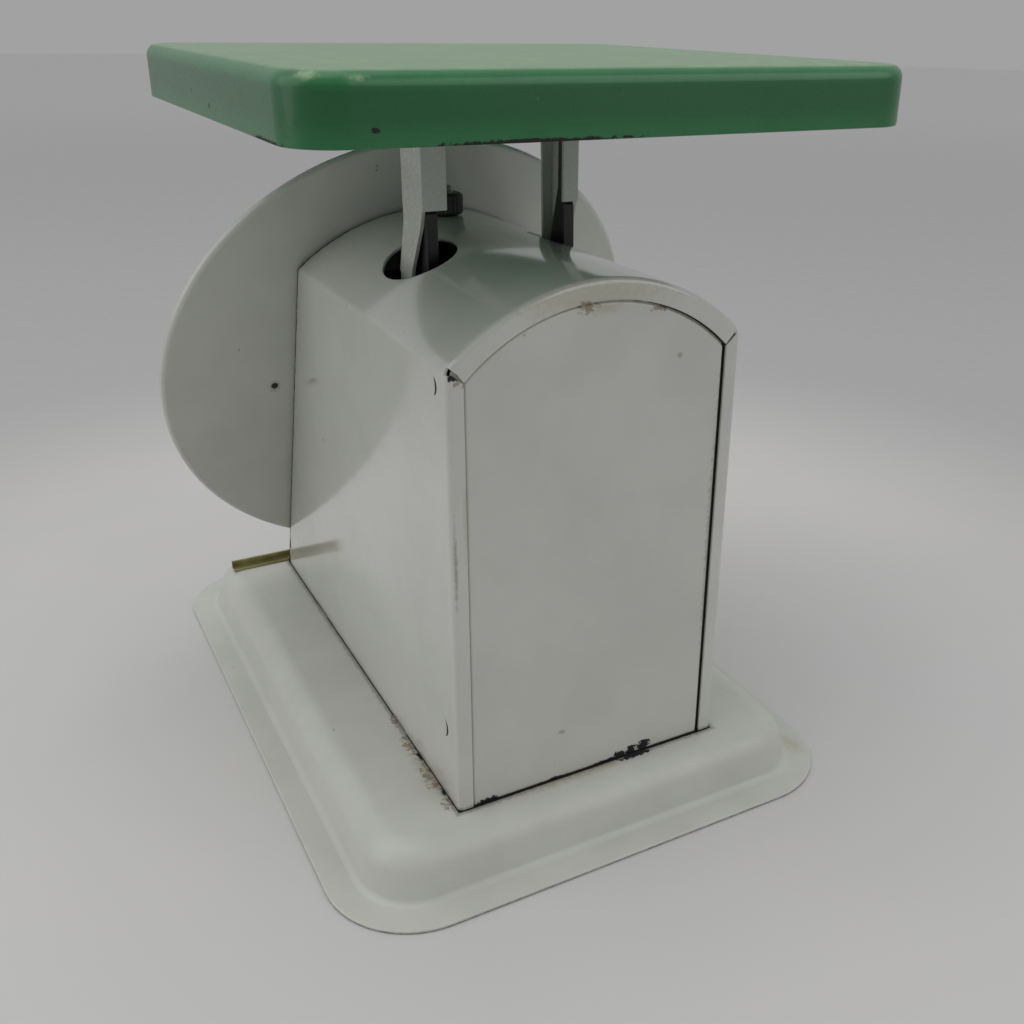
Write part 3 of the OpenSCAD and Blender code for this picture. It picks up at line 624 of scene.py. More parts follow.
def dial_rivet(sign, radius=1.25):
    """Small domed rivet head on the back of the dial pan, with its shank and front head."""
    x, y = sign * RIVET_X, RIVET_Y
    section = ([(0.001, DIAL_PAN_Z - 0.58)]
               + [(radius * math.sin(math.radians(t)), DIAL_PAN_Z - 0.58 * math.cos(math.radians(t)))
                  for t in spread(15, 90, 6)]
               + [(radius, DIAL_PAN_Z + 0.3), (1.05, DIAL_PAN_Z + 0.3), (1.05, PRINT_Z - 0.1)]
               + [(1.7, PRINT_Z - 0.1)]
               + [(1.7 * math.cos(math.radians(t)), PRINT_Z + 0.05 + 0.42 * math.sin(math.radians(t)))
                  for t in spread(0, 80, 5)] + [(0.001, PRINT_Z + 0.47)])
    return lathe(section, 28, lambda px, py, h: on_dial(x + px, y + py, h))


def make_dial_rivets():
    """The two rivets that hold the dial plate."""
    rivets = piece("dial_rivet_heads", dial_rivet(-1), dial_rivet(1), slot="bright_steel")
    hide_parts("dial_rivets")
    return rivets


def tick(turn, inner, outer, width, height):
    """One printed mark, at an angle clockwise from the top of the dial."""
    t = math.radians(turn)
    along = Vector((math.sin(t), math.cos(t)))
    across = Vector((along.y, -along.x)) * width / 2
    corners = [along * inner - across, along * inner + across,
               along * outer + across, along * outer - across]
    top = [on_dial(c.x, c.y, height) for c in corners]
    bottom = [on_dial(c.x, c.y, height - 0.04) for c in corners]
    faces = [(0, 1, 2, 3), (4, 5, 6, 7)]
    faces += [(i, (i + 1) % 4, (i + 1) % 4 + 4, i + 4) for i in range(4)]
    return top + bottom, faces


def printed_ring(radius, width, height):
    """Printed circle line."""
    section = [(radius, height - 0.04), (radius + width, height - 0.04),
               (radius + width, height), (radius, height)]
    return lathe(section + section[:1], DIAL_STEPS, on_dial)


def numeral(text, turn, radius, size, height):
    """A dial number as (points, faces), upright on the dial."""
    curve = bpy.data.curves.new("numeral", "FONT")
    curve.body = text
    curve.size = size
    curve.align_x = "CENTER"
    curve.align_y = "CENTER"
    curve.extrude = 0.02
    curve.resolution_u = 4
    holder = placed("numeral", curve)
    bpy.context.view_layer.update()
    mesh = bpy.data.meshes.new_from_object(holder.evaluated_get(bpy.context.evaluated_depsgraph_get()))
    t = math.radians(turn)
    x, y = radius * math.sin(t), radius * math.cos(t)
    points = [on_dial(x + v.co.x, y + v.co.y, height - 0.02 + v.co.z) for v in mesh.vertices]
    faces = [tuple(p.vertices) for p in mesh.polygons]
    bpy.data.objects.remove(holder)
    bpy.data.curves.remove(curve)
    bpy.data.meshes.remove(mesh)
    return points, faces


def make_dial_print():
    """Black outer scale from 0 to 10, and a finer red scale inside it."""
    height = PRINT_Z + 0.05
    black = [printed_ring(SCALE_R, 0.5, height), printed_ring(66.5, 0.35, height)]
    for i in range(201):
        length, width = (9, 0.9) if i % 20 == 0 else (6.5, 0.6) if i % 10 == 0 else (4, 0.35)
        black.append(tick(FULL_TURN * i / 200, SCALE_R - length, SCALE_R + 0.1, width, height))
    black += [numeral(str(i), FULL_TURN * i / 10, 59, 12, height) for i in range(11)]
    red = []
    for i in range(111):
        length, width = (4.5, 0.6) if i % 5 == 0 else (2.4, 0.3)
        red.append(tick(FULL_TURN * i / 110, FINE_R, FINE_R + length, width, height))
    red += [numeral(str(i), FULL_TURN * i / 22, 46, 5.5, height) for i in range(0, 23, 2)]
    piece("dial_scale_print", *black, slot="black_paint", weld=0.0005)
    piece("dial_fine_print", *red, slot="red_paint", weld=0.0005)


# ---- knob, rod and springs

def make_knob():
    """Knurled cap with chamfered ends on a plain sleeve, round a bore."""
    knurls, radius, depth = 24, 5.6, 0.45
    top, bottom, sleeve_low = KNOB_HIGH.z, KNOB_Z, KNOB_LOW.z
    bore, sleeve = ROD_R + 0.05, 3.5
    levels = [(bottom, sleeve, 0), (bottom, radius - 0.7, 0), (bottom + 0.5, radius, 0.4)]
    levels += [(z, radius, 1) for z in spread(bottom + 0.9, top - 1.3, 4)]
    levels += [(top - 0.8, radius - 0.05, 0.5), (top - 0.25, radius - 0.75, 0), (top, radius - 1.4, 0),
               (top, bore + 0.4, 0), (top - 0.3, bore, 0), (sleeve_low, bore, 0),
               (sleeve_low, sleeve, 0), (bottom, sleeve, 0)]
    rows = []
    steps = knurls * 6
    for i in range(steps):
        turn = 2 * math.pi * i / steps
        groove = depth * abs(math.cos(turn * knurls / 2)) ** 3
        rows.append([
            ((r - groove * share) * math.cos(turn), ROD_Y + (r - groove * share) * math.sin(turn), z)
            for z, r, share in levels
        ])
    knob = piece("zero_knob_knurled", quads(rows, closed=True), body="zero_knob", slot="black_paint")
    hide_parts("zero_knob")


def make_rod():
    """Adjusting rod with its thread, a chamfered tip and the collar under the hanger."""
    thread_low, tip = 148.0, ROD_HIGH.z
    hanger_low = ROD_LOW.z + 1.5
    steps = 32
    levels = [(ROD_LOW.z, 0.01), (ROD_LOW.z, 3.7), (ROD_LOW.z + 0.3, 4.0), (hanger_low - 0.3, 4.0),
              (hanger_low, 3.7), (hanger_low, ROD_R), (thread_low - 0.5, ROD_R)]
    count = round((tip - 0.6 - thread_low) / (THREAD_PITCH / 6))
    threaded = spread(thread_low, tip - 0.6, count)
    rows = []
    for i in range(steps):
        turn = 2 * math.pi * i / steps
        section = list(levels)
        for z in threaded:
            phase = (z / THREAD_PITCH - i / steps) % 1
            section.append((z, ROD_R - 0.02 - 0.42 * (1 - abs(2 * phase - 1))))
        section += [(tip - 0.5, ROD_R - 0.5), (tip, ROD_R - 1.0), (tip, 0.01)]
        rows.append([(r * math.cos(turn), ROD_Y + r * math.sin(turn), z) for z, r in section])
    rod = piece("threaded_rod", quads(rows, closed=True), body="hanger", slot="bright_steel")
    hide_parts("adjusting_rod")
    level(rod)


def spring_path(fine=28):
    """Centreline of one spring in two lengths: lower hook with coils, and upper elbow with its hook."""
    coil_h = SPRING_COILS * COIL_PITCH
    start = math.asin(ELBOW_R / SPRING_R)
    count = round(fine * SPRING_COILS / 2)
    half = []
    for i in range(count + 1):
        turn = (i / count - 1) * SPRING_COILS * math.pi - start
        half.append(Vector((SPRING_R * math.cos(turn), SPRING_R * math.sin(turn), i / count * coil_h / 2)))
    elbow_x = SPRING_R * math.cos(start)
    for turn in range(15, 91, 15):
        t = math.radians(turn)
        half.append(Vector((elbow_x, -ELBOW_R * (1 - math.sin(t)),
                            coil_h / 2 + ELBOW_R * (1 - math.cos(t)))))
    for turn in range(8, 205, 8):
        t = math.radians(turn)
        half.append(Vector((elbow_x - HOOK_R * (1 - math.cos(t)), 0,
                            coil_h / 2 + ELBOW_R + HOOK_R * math.sin(t))))
    turned = [Vector((p.x, -p.y, -p.z)) for p in half[:0:-1]]
    return turned + half[:count + 1], half[count:]


def wire_part(path, radius, sides=12):
    """Round wire along a path, with rounded ends."""
    rows = []
    side = Vector((0.1, 1, 0.2))
    for i, point in enumerate(path):
        ahead = (path[min(i + 1, len(path) - 1)] - path[max(i - 1, 0)]).normalized()
        side = (side - ahead * side.dot(ahead)).normalized()
        other = ahead.cross(side)
        ring = [point + radius * (side * math.cos(2 * math.pi * k / sides)
                                  + other * math.sin(2 * math.pi * k / sides)) for k in range(sides)]
        rows.append(ring + ring[:1])
    caps = [[point + (p - point) * 0.02 for p in row]
            for point, row in ((path[0], rows[0]), (path[-1], rows[-1]))]
    return quads([caps[0]] + rows + [caps[1]])


def make_springs():
    """Coils with their lower hooks, and upper elbows with their hooks, of the two springs as wire meshes on
    no body; the coils replace the CAD springs.
    """
    lower_hook = UPPER_HOOK_Z - SPRING_COILS * COIL_PITCH - 2 * (SPRING_R + ELBOW_R)
    middle = Vector((SPRING_X, ROD_Y, (UPPER_HOOK_Z + lower_hook) / 2))
    ends = (("spring_coil_", "carriage", lower_hook + HOOK_R),
            ("spring_hook_", "hanger", UPPER_HOOK_Z - HOOK_GRIP))
    for path, (label, body, end_z) in zip(spring_path(), ends):
        points, faces = wire_part(path, WIRE_R)
        for side, name in ((1, "left"), (-1, "right")):
            moved = [((p + middle).x * side, (p + middle).y, (p + middle).z) for p in points]
            wire = piece(label + name, (moved, faces), body=None, slot="spring_wire")
            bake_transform(wire)
            if body == "carriage":
                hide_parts("spring_" + name)


# ---- shader helpers

class Shader:
    """One procedural material, with short calls for its nodes."""

    def __init__(self, name, **sockets):
        self.material = bpy.data.materials.new(name)
        self.material.use_nodes = True
        self.tree = self.material.node_tree
        self.surface = self.tree.nodes["Principled BSDF"]
        for socket, value in sockets.items():
            self.surface.inputs[socket.replace("_", " ")].default_value = value
        self.place = self.add("ShaderNodeTexCoord").outputs["Object"]

    def add(self, kind, inputs=(), **settings):
        made = self.tree.nodes.new(kind)
        for key, value in settings.items():
            setattr(made, key, value)
        for key, value in dict(inputs).items():
            if isinstance(value, bpy.types.NodeSocket):
                self.tree.links.new(value, made.inputs[key])
            else:
                made.inputs[key].default_value = value
        return made

    def math(self, operation, a, b=0.0, clamp=False):
        made = self.add("ShaderNodeMath", {0: a, 1: b}, operation=operation, use_clamp=clamp)
        return made.outputs[0]

    def times(self, a, b):
        return self.math("MULTIPLY", a, b)

    def vector(self, operation, a, b):
        return self.add("ShaderNodeVectorMath", {0: a, 1: b}, operation=operation).outputs[0]

    def noise(self, scale, detail=4.0, rough=0.55, stretch=None):
        """Noise from 0 to 1; scale is in features a metre, stretch squeezes it along each axis."""
        place = self.vector("MULTIPLY", self.place, stretch) if stretch else self.place
        made = self.add("ShaderNodeTexNoise", {
            "Vector": place, "Scale": scale, "Detail": detail, "Roughness": rough})
        return made.outputs[0]

    def ramp(self, value, low, high, start=0.0, end=1.0):
        """Smooth step of value from low to high."""
        made = self.add("ShaderNodeMapRange", {
            "Value": value, "From Min": low, "From Max": high, "To Min": start, "To Max": end},
            interpolation_type="SMOOTHSTEP")
        return made.outputs["Result"]

    def blend(self, share, a, b):
        """Colour between a and b."""
        a, b = (c if isinstance(c, bpy.types.NodeSocket) else (*c, 1.0) for c in (a, b))
        return self.add("ShaderNodeMix", {0: share, 6: a, 7: b}, data_type="RGBA").outputs[2]

    def length(self, value):
        return self.add("ShaderNodeVectorMath", {0: value}, operation="LENGTH").outputs["Value"]

    def axis(self, index):
        made = self.add("ShaderNodeSeparateXYZ", {0: self.place})
        return made.outputs[index]

    def spot(self, centre, radii):
        """Falls from 1 at a centre to 0 at the given radii, in millimetres."""
        away = self.vector("SUBTRACT", self.place, tuple(c * MM for c in centre))
        away = self.vector("DIVIDE", away, tuple(r * MM for r in radii))
        return self.math("SUBTRACT", 1.0, self.length(away), clamp=True)

    def ragged(self, mask, grain, depth=0.7, soft=0.14):
        """Breaks a mask's outline up with grain from 0 to 1; a mask of 0 stays 0."""
        rough = self.math("SUBTRACT", mask, self.times(grain, depth))
        return self.ramp(rough, 0.04, 0.04 + soft)

    def most(self, masks):
        """The highest of several masks."""
        found = masks[0]
        for mask in masks[1:]:
            found = self.math("MAXIMUM", found, mask)
        return found

    def finish(self, colour, roughness, height=None, depth=0.00002):
        self.tree.links.new(colour, self.surface.inputs["Base Color"])
        self.tree.links.new(roughness, self.surface.inputs["Roughness"])
        if height is not None:
            bump = self.add("ShaderNodeBump", {"Strength": 1.0, "Distance": depth, "Height": height})
            self.tree.links.new(bump.outputs[0], self.surface.inputs["Normal"])
        return self.material


WHITE = (0.60, 0.61, 0.565)
GREEN = (0.011, 0.118, 0.034)
RUST = (0.20, 0.100, 0.050)
# The black and the brown-grey tints paint real chips and dirt, and also painted shade along joints, gaps
# and edges.
IRON_AND_SHADE = (0.012, 0.011, 0.010)
STAIN = (0.37, 0.34, 0.19)
GRIME_AND_SHADE = (0.17, 0.155, 0.12)
TINTS = {"rust": RUST, "iron_and_shade": IRON_AND_SHADE, "stain": STAIN, "grime": GRIME_AND_SHADE, "chalk": (0.47, 0.62, 0.36)}


def enamel(name, colour, gloss, marks=(), seams=None, chalk=None, coat=0.3):
    """Glossy enamel on sheet steel with specks, faint mottling and worn or dirty places.

    marks lists (tint, centre, radii) in millimetres; seams lists mask functions for each tint,
    some of them painted shade along joints, gaps and edges."""
    s = Shader(name)
    s.surface.inputs["IOR"].default_value = 1.5
    s.surface.inputs["Coat Weight"].default_value = coat
    s.surface.inputs["Coat Roughness"].default_value = 0.08
    mottle = s.noise(35, 3)
    fine = s.noise(900, 5, 0.65)
    grain = s.ramp(s.noise(520, 6, 0.75), 0.38, 0.62)
    dark = tuple(c * 0.93 for c in colour)
    paint = s.blend(s.ramp(mottle, 0.35, 0.7), colour, dark)
    specks = s.ramp(s.noise(330, 2, 0.4), 0.79, 0.81)
    paint = s.blend(s.times(specks, 0.55), paint, GRIME_AND_SHADE)
    rough = s.ramp(fine, 0.3, 0.8, gloss, gloss + 0.1)
    worn = []
    if chalk:
        paint, rough = chalk(s, paint, rough)
    for tint, share in (("stain", 0.4), ("grime", 0.55), ("rust", 0.6), ("chalk", 0.45), ("iron_and_shade", 1.0)):
        found = [s.spot(centre, radii) for kind, centre, radii in marks if kind == tint]
        found += [make_mask(s) for make_mask in (seams or {}).get(tint, ())]
        if found:
            depth, soft = {"rust": (0.9, 0.2), "iron_and_shade": (0.5, 0.12)}.get(tint, (0.3, 0.7))
            mask = s.ragged(s.most(found), grain, depth, soft)
            paint = s.blend(s.times(mask, share), paint, TINTS[tint])
            if tint in ("rust", "iron_and_shade"):
                worn.append(mask)
    wave = s.times(s.noise(28, 2, 0.4), 6.0)
    height = s.math("ADD", wave, s.times(s.noise(260, 2, 0.5), 0.35))
    # This mask holds real paint loss and painted shade lines alike; both get rougher, lose the coat and
    # sink a little.
    if worn:
        bare_and_shaded = s.most(worn)
        rough = s.math("ADD", rough, s.times(bare_and_shaded, 0.5), clamp=True)
        glaze = s.times(s.math("SUBTRACT", 1.0, bare_and_shaded), coat)
        s.tree.links.new(glaze, s.surface.inputs["Coat Weight"])
        height = s.math("SUBTRACT", height, s.times(bare_and_shaded, 2.0))
    return s.finish(paint, rough, height)


def footprint_dirt(width):
    """Dirt and painted shade on the base along the foot of the housing."""
    def mask(s):
        across = s.math("SUBTRACT", s.math("ABSOLUTE", s.axis(0)), HALF * MM)
        behind = s.math("SUBTRACT", s.axis(1), BACK * MM)
        ahead = s.math("SUBTRACT", SHELL_LOW.y * MM, s.axis(1))
        return s.ramp(s.most([across, behind, ahead]), width * MM, 0.0)
    return mask


def front_edge_dirt(width):
    """Painted shade: a dark line in the joint between the housing's slanted front edge and the dial."""
    def mask(s):
        away = s.vector("SUBTRACT", s.place, tuple(DIAL_CENTRE * MM))
        made = s.add("ShaderNodeVectorMath", {0: away, 1: tuple(DIAL_OUT)}, operation="DOT_PRODUCT")
        return s.ramp(made.outputs["Value"], -width * MM, 0.0)
    return mask


def low_edge_dirt(height, width):
    """Dirt and painted shade on a wall just above a height; along the base's lip edge it is painted contact
    shade.
    """
    return lambda s: s.ramp(s.axis(2), (height + width) * MM, height * MM)


def arch_dirt(width):
    """Darker band on the back panel under the -X half of the arch, above its straight sides."""
    def mask(s):
        away = s.vector("SUBTRACT", s.place, (0, 0, ARCH_Z * MM))
        flat = s.vector("MULTIPLY", away, (1, 0, 1))
        span = s.length(flat)
        edge = (ARCH_R - ARCH_FLANGE - 0.2) * MM
        near = s.ramp(span, edge - width * MM, edge)
        high = s.ramp(s.axis(2), 144 * MM, 146 * MM)
        half = s.ramp(s.axis(0), 4 * MM, -30 * MM)
        return s.times(s.times(near, high), half)
    return mask


def side_gap_dirt(width):
    """Painted shade: a dark line down the -X edge of the back panel, in the gap beside the flange."""
    edge = PANEL_SHIFT - (HALF - SIDE_FLANGE - PANEL_GAP)
    return lambda s: s.ramp(s.axis(0), (edge + width) * MM, edge * MM)


def base_marks():
    """Scuffs, stains and chips of the base pan."""
    return [
        ("rust", (46.9, 58, BASE_TOP), (2.6, 9, 2)), ("rust", (47.2, 76, BASE_TOP), (3.0, 10, 2)),
        ("rust", (46.6, 42, BASE_TOP), (1.9, 6, 2)), ("rust", (47.0, 90, BASE_TOP), (2.4, 5, 2)),
        ("stain", (47.0, 72, BASE_TOP), (4.2, 26, 2)), ("rust", (-47.0, 50, BASE_TOP), (3.0, 14, 2)),
        ("iron_and_shade", (45.9, 64, BASE_TOP), (0.9, 3, 2)), ("iron_and_shade", (45.9, 84, BASE_TOP), (0.8, 3, 2)),
        ("iron_and_shade", (-15, 95.4, BASE_TOP), (8, 1.6, 2)), ("iron_and_shade", (63, 89, 1.3), (2.6, 0.9, 1.2)),
        ("grime", (66, 86, 2), (6, 2.0, 3)), ("iron_and_shade", (-3.5, 112.4, 12), (1.2, 1.2, 2)),
        ("stain", (-79, 98, 2), (7, 9, 4)), ("iron_and_shade", (-66, -112, 1.4), (3, 1.4, 1.4)),
        ("stain", (44, 117, 6), (10, 4, 4)), ("stain", (65, 97, 8), (9, 9, 8)),
        ("iron_and_shade", (6.4, 112.4, 11), (0.9, 0.9, 2)), ("stain", (6, 96.5, BASE_TOP), (36, 2, 3)),
    ]


def shell_marks():
    """Chips, rust and stains of the housing."""
    inner_x = HALF - SIDE_FLANGE
    return [
        ("iron_and_shade", (44.0, BACK, 151.8), (2.2, 2.4, 1.5)), ("stain", (inner_x, BACK, 112), (1.8, 2, 26)),
        ("grime", (44.3, BACK, 98), (0.9, 2, 22)), ("rust", (42.4, BACK, 149.9), (2.6, 2, 1.6)),
        ("rust", (6, BACK, 166.2), (5, 2, 1.6)), ("stain", (4, BACK, 168), (44, 2, 9)),
        ("iron_and_shade", (-45.4, BACK, 152.6), (0.9, 2.2, 1.2)),
        ("rust", (HALF, 72, FLOOR), (2, 20, 2.2)), ("rust", (-HALF, 50, FLOOR), (2, 20, 2.2)),
        ("iron_and_shade", (HALF, -86.0, 21), (2, 1.8, 6)), ("iron_and_shade", (HALF, -82.6, 30), (2, 1.6, 7)),
        ("iron_and_shade", (HALF, -20, 96), (0.8, 0.6, 0.6)), ("iron_and_shade", (-HALF, 30, 120), (0.8, 0.7, 0.5)),
        ("iron_and_shade", (POST_HOLE[0] + 9.5, 30, 165), (1.6, 4, 2)),
        ("iron_and_shade", (POST_HOLE[0] - 2, 10.8, 167), (3, 1.2, 2)),
        ("iron_and_shade", (-POST_HOLE[0], 41, 167), (4, 1.2, 2)),
    ]


def panel_marks():
    """Paint loss along the foot of the back panel, rust under the arch, small chips and painted shade down
    its -X edge.
    """
    y = PANEL_HIGH.y
    return [
        ("iron_and_shade", (-10.2, y, FLOOR + 0.9), (3.4, 2, 2.2)), ("iron_and_shade", (-14.4, y, FLOOR + 1.0), (3.4, 2, 2.8)),
        ("iron_and_shade", (-18.9, y, FLOOR + 1.2), (3.8, 2, 3.4)), ("iron_and_shade", (-5, y, FLOOR), (9, 2, 1.6)),
        ("iron_and_shade", (36, y, FLOOR), (6, 2, 2.4)), ("iron_and_shade", (14, y, FLOOR), (7, 2, 1.2)),
        ("rust", (5, y, 165.4), (5, 2, 2.4)), ("stain", (0, y, 165), (12, 2, 3.5)),
        ("grime", (11, y, 34.1), (2.2, 2, 1.5)), ("grime", (-24.9, y, 148.8), (1.6, 2, 1.6)),
        ("grime", (23.5, y, 160.3), (0.8, 2, 0.8)),
        # The long mark at x -39.8 is painted shade in the gap beside the flange.
        ("grime", (-39.8, y, 90), (2.4, 2, 80)), ("rust", (-20, y, 163.0), (8, 2, 1.6)),
    ]


def tray_marks():
    """Chips and scuffs of the tray."""
    edge, back = TRAY_HIGH.x, TRAY_HIGH.y
    low, top = TRAY_LOW.z, TRAY_HIGH.z
    return [
        ("iron_and_shade", (67.0, back, 213.5), (1.3, 2, 1.0)), ("chalk", (edge - 5, back - 4, top - 1), (5, 4, 1.8)),
        ("chalk", (70, back - 1, top - 1.6), (4, 2, 1.2)),
        ("iron_and_shade", (30, back, low + 0.3), (34, 2, 0.9)),
        ("iron_and_shade", (edge, 40, low + 3.5), (2, 0.9, 0.8)), ("iron_and_shade", (edge, 20, low + 6), (2, 0.6, 0.6)),
        ("chalk", (-edge + 3, back - 3, top - 1), (4, 4, 1.5)),
        ("iron_and_shade", (edge, 92, low + 0.3), (2, 16, 0.9)),
        ("iron_and_shade", (-40, TRAY_LOW.y, low + 5), (1.0, 2, 0.9)),
        ("chalk", (-30, TRAY_LOW.y + 1, top - 1), (8, 2, 1.0)),
    ]


def worn_top(s, paint, rough):
    """Paler green at the bend and the lower edge, painted highlight and painted floor reflection over
    thinner enamel, and chalky, ringed wear on the top.
    """
    # Painted highlight along the bend and painted reflection of the floor along the lower edge, with
    # thinner enamel there.
    bend = s.ramp(s.axis(2), (TRAY_HIGH.z - 4.6) * MM, (TRAY_HIGH.z - 2.0) * MM)
    edge = s.ramp(s.axis(2), (TRAY_LOW.z + 6.5) * MM, (TRAY_LOW.z + 0.5) * MM)
    thin_and_sheen = s.math("MAXIMUM", s.times(bend, 0.75), s.times(edge, 0.5))
    patchy = s.ramp(s.noise(90, 4, 0.6), 0.25, 0.7, 0.55, 1.0)
    paint = s.blend(s.times(thin_and_sheen, patchy), paint, (0.024, 0.215, 0.070))
    on_top = s.ramp(s.axis(2), (TRAY_HIGH.z - 0.6) * MM, (TRAY_HIGH.z - 0.1) * MM)
    away = s.vector("SUBTRACT", s.place, (0.0, TRAY_Y * MM, TRAY_HIGH.z * MM))
    away = s.vector("MULTIPLY", away, (1.0, 0.85, 0.0))
    radius = s.length(away)
    drift = s.times(s.noise(22, 4, 0.6), 0.03)
    rings = s.math("SINE", s.times(s.math("ADD", radius, drift), 760.0))
    ringed = s.times(s.ramp(rings, -1.0, 1.0), s.ramp(s.noise(40, 5, 0.7), 0.35, 0.68))
    share = s.times(on_top, s.math("ADD", s.times(ringed, 0.16), 0.28))
    paint = s.blend(share, paint, TINTS["chalk"])
    rough = s.math("ADD", rough, s.times(share, 0.25))
    return paint, rough


def metal(name, colour, rough, brush=(1, 1, 14), tarnish=None):
    """Bare or plated metal with brushed streaks, smudges and darker tarnish."""
    s = Shader(name, Metallic=1.0)
    streaks = s.noise(240, 4, 0.6, brush)
    smudge = s.ramp(s.noise(70, 4, 0.6), 0.42, 0.72)
    dull = tarnish or tuple(c * 0.45 for c in colour)
    tone = s.blend(smudge, colour, dull)
    tone = s.blend(s.times(streaks, 0.35), tone, tuple(c * 0.7 for c in colour))
    gloss = s.math("ADD", s.ramp(streaks, 0.2, 0.8, rough, rough + 0.15),
                   s.times(smudge, 0.15), clamp=True)
    return s.finish(tone, gloss, streaks, 0.00001)


def coating(name, colour, rough, worn=(0.10, 0.09, 0.08)):
    """Paint on small parts with fine grain and rubbed patches."""
    s = Shader(name)
    grain = s.noise(700, 5, 0.6)
    rub = s.ramp(s.noise(150, 5, 0.7), 0.6, 0.75)
    tone = s.blend(s.times(rub, 0.6), colour, worn)
    gloss = s.math("ADD", s.ramp(grain, 0.3, 0.8, rough, rough + 0.14),
                   s.times(rub, 0.15), clamp=True)
    return s.finish(tone, gloss, grain, 0.00002)


def dial_enamel(name, colour, rough):
    """Aged enamel of the dial plate, browner towards its rim."""
    s = Shader(name)
    away = s.vector("SUBTRACT", s.place, tuple(DIAL_CENTRE * MM))
    radius = s.length(away)
    aged = tuple(c * f for c, f in zip(colour, (0.86, 0.78, 0.6)))
    edge = s.times(s.ramp(radius, 0.055, 0.092), s.ramp(s.noise(40, 5, 0.7), 0.25, 0.8))
    tone = s.blend(edge, colour, aged)
    freckles = s.ramp(s.noise(320, 2, 0.5), 0.72, 0.76)
    tone = s.blend(s.times(freckles, 0.4), tone, RUST)
    return s.finish(tone, s.ramp(s.noise(500, 4), 0.3, 0.8, rough, rough + 0.15), s.noise(900, 4), 0.00001)


def make_materials():
    """One material for each material slot of the record."""
    return {
        "white_enamel": enamel("white_enamel", WHITE, 0.22),
        "green_enamel": enamel("green_enamel", GREEN, 0.27, tray_marks(), chalk=worn_top, coat=0.2),
        "black_paint": coating("black_paint", (0.014, 0.014, 0.014), 0.38),
        "zinc_plate": metal("zinc_plate", (0.46, 0.47, 0.48), 0.32, (1, 6, 1)),
        "bright_steel": metal("bright_steel", (0.42, 0.42, 0.43), 0.25, tarnish=(0.10, 0.085, 0.07)),
        "brass": metal("brass", (0.44, 0.40, 0.20), 0.34, (1, 8, 8), tarnish=(0.19, 0.18, 0.08)),
        "chrome": metal("chrome", (0.72, 0.73, 0.74), 0.08, (3, 3, 3), tarnish=(0.45, 0.43, 0.40)),
        "dial_face": dial_enamel("dial_enamel", (0.78, 0.76, 0.68), 0.3),
        "red_paint": coating("red_paint", (0.38, 0.022, 0.016), 0.3, (0.2, 0.03, 0.02)),
        "spring_wire": metal("spring_wire", (0.26, 0.26, 0.27), 0.3, tarnish=(0.07, 0.05, 0.035)),
    }


def dress(materials, base, shell, panel, pan, rivets):
    """Gives every piece and every CAD node its material."""
    for part in frame["record"]["subparts"]:
        node = frame["nodes"][part["node"]]
        node.data.materials.clear()
        node.data.materials.append(materials[part["material_slot"]])
        if not node.hide_render:
            soften(node, 0.18, weld=True)
    for made in bpy.data.objects:
        if made.type == "MESH" and "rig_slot" in made:
            made.data.materials.append(materials[made["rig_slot"]])
    # Base: dirt and painted shade along the foot of the housing, and painted contact shade along the lip's
    # lower edge.
    seams = {"grime": [footprint_dirt(2.6), low_edge_dirt(0, 1.2)],
             "iron_and_shade": [footprint_dirt(0.3), low_edge_dirt(0, 0.5)]}
    base.data.materials[0] = enamel("base_enamel", WHITE, 0.3, base_marks(), seams, coat=0.0)
    # Housing: dirt and painted shade along its foot, and painted shade in the joint at its front edge.
    seams = {"grime": [low_edge_dirt(FLOOR, 2.0)],
             "iron_and_shade": [front_edge_dirt(1.6), low_edge_dirt(FLOOR, 0.35)]}
    shell.data.materials[0] = enamel("housing_enamel", WHITE, 0.14, shell_marks(), seams, coat=1.0)
    # Panel: dirt and painted shade along its foot, a darker band under the arch, and painted shade in the
    # gap down its -X edge.
    seams = {"grime": [low_edge_dirt(FLOOR, 1.6), arch_dirt(1.8)],
             "iron_and_shade": [low_edge_dirt(FLOOR, 0.25), arch_dirt(0.2), side_gap_dirt(0.3)]}
    panel.data.materials[0] = enamel("panel_enamel", WHITE, 0.3, panel_marks(), seams, coat=0.0)
    halos = [("grime", on_dial(sign * RIVET_X, RIVET_Y, 0), (4, 4, 4)) for sign in (-1, 1)]
    pan.data.materials[0] = enamel("dial_pan_enamel", WHITE, 0.18, halos)
    rivets.data.materials[0] = metal("aged_rivets", (0.07, 0.065, 0.06), 0.45, tarnish=(0.03, 0.02, 0.015))


# ---- stage, light and camera

def make_floor():
    """Pale floor, with painted shade making it a little darker in the middle distance."""
    radius, steps = 6000, 96
    rings = [0, 150, 300, 600, 1200, 2500, radius]
    rows = [[(r * math.cos(2 * math.pi * i / steps), r * math.sin(2 * math.pi * i / steps), 0)
             for r in rings] for i in range(steps)]
    shape = welded([quads(rows, closed=True)], 0.01)
    bmesh.ops.recalc_face_normals(shape, faces=shape.faces)
    floor = meshed("floor", shape)
    s = Shader("floor_paper")
    s.surface.inputs["Specular IOR Level"].default_value = 0.2
    away = s.length(s.place)
    near = s.blend(s.ramp(s.noise(6, 3), 0.3, 0.7), (0.66, 0.65, 0.64), (0.635, 0.635, 0.635))
    tone = s.blend(s.ramp(away, 0.21, 0.45), near, (0.48, 0.48, 0.48))
    tone = s.blend(s.ramp(away, 0.55, 3.2), tone, (0.605, 0.605, 0.605))
    floor.data.materials.append(s.finish(tone, s.ramp(s.noise(80, 3), 0.3, 0.8, 0.5, 0.65)))


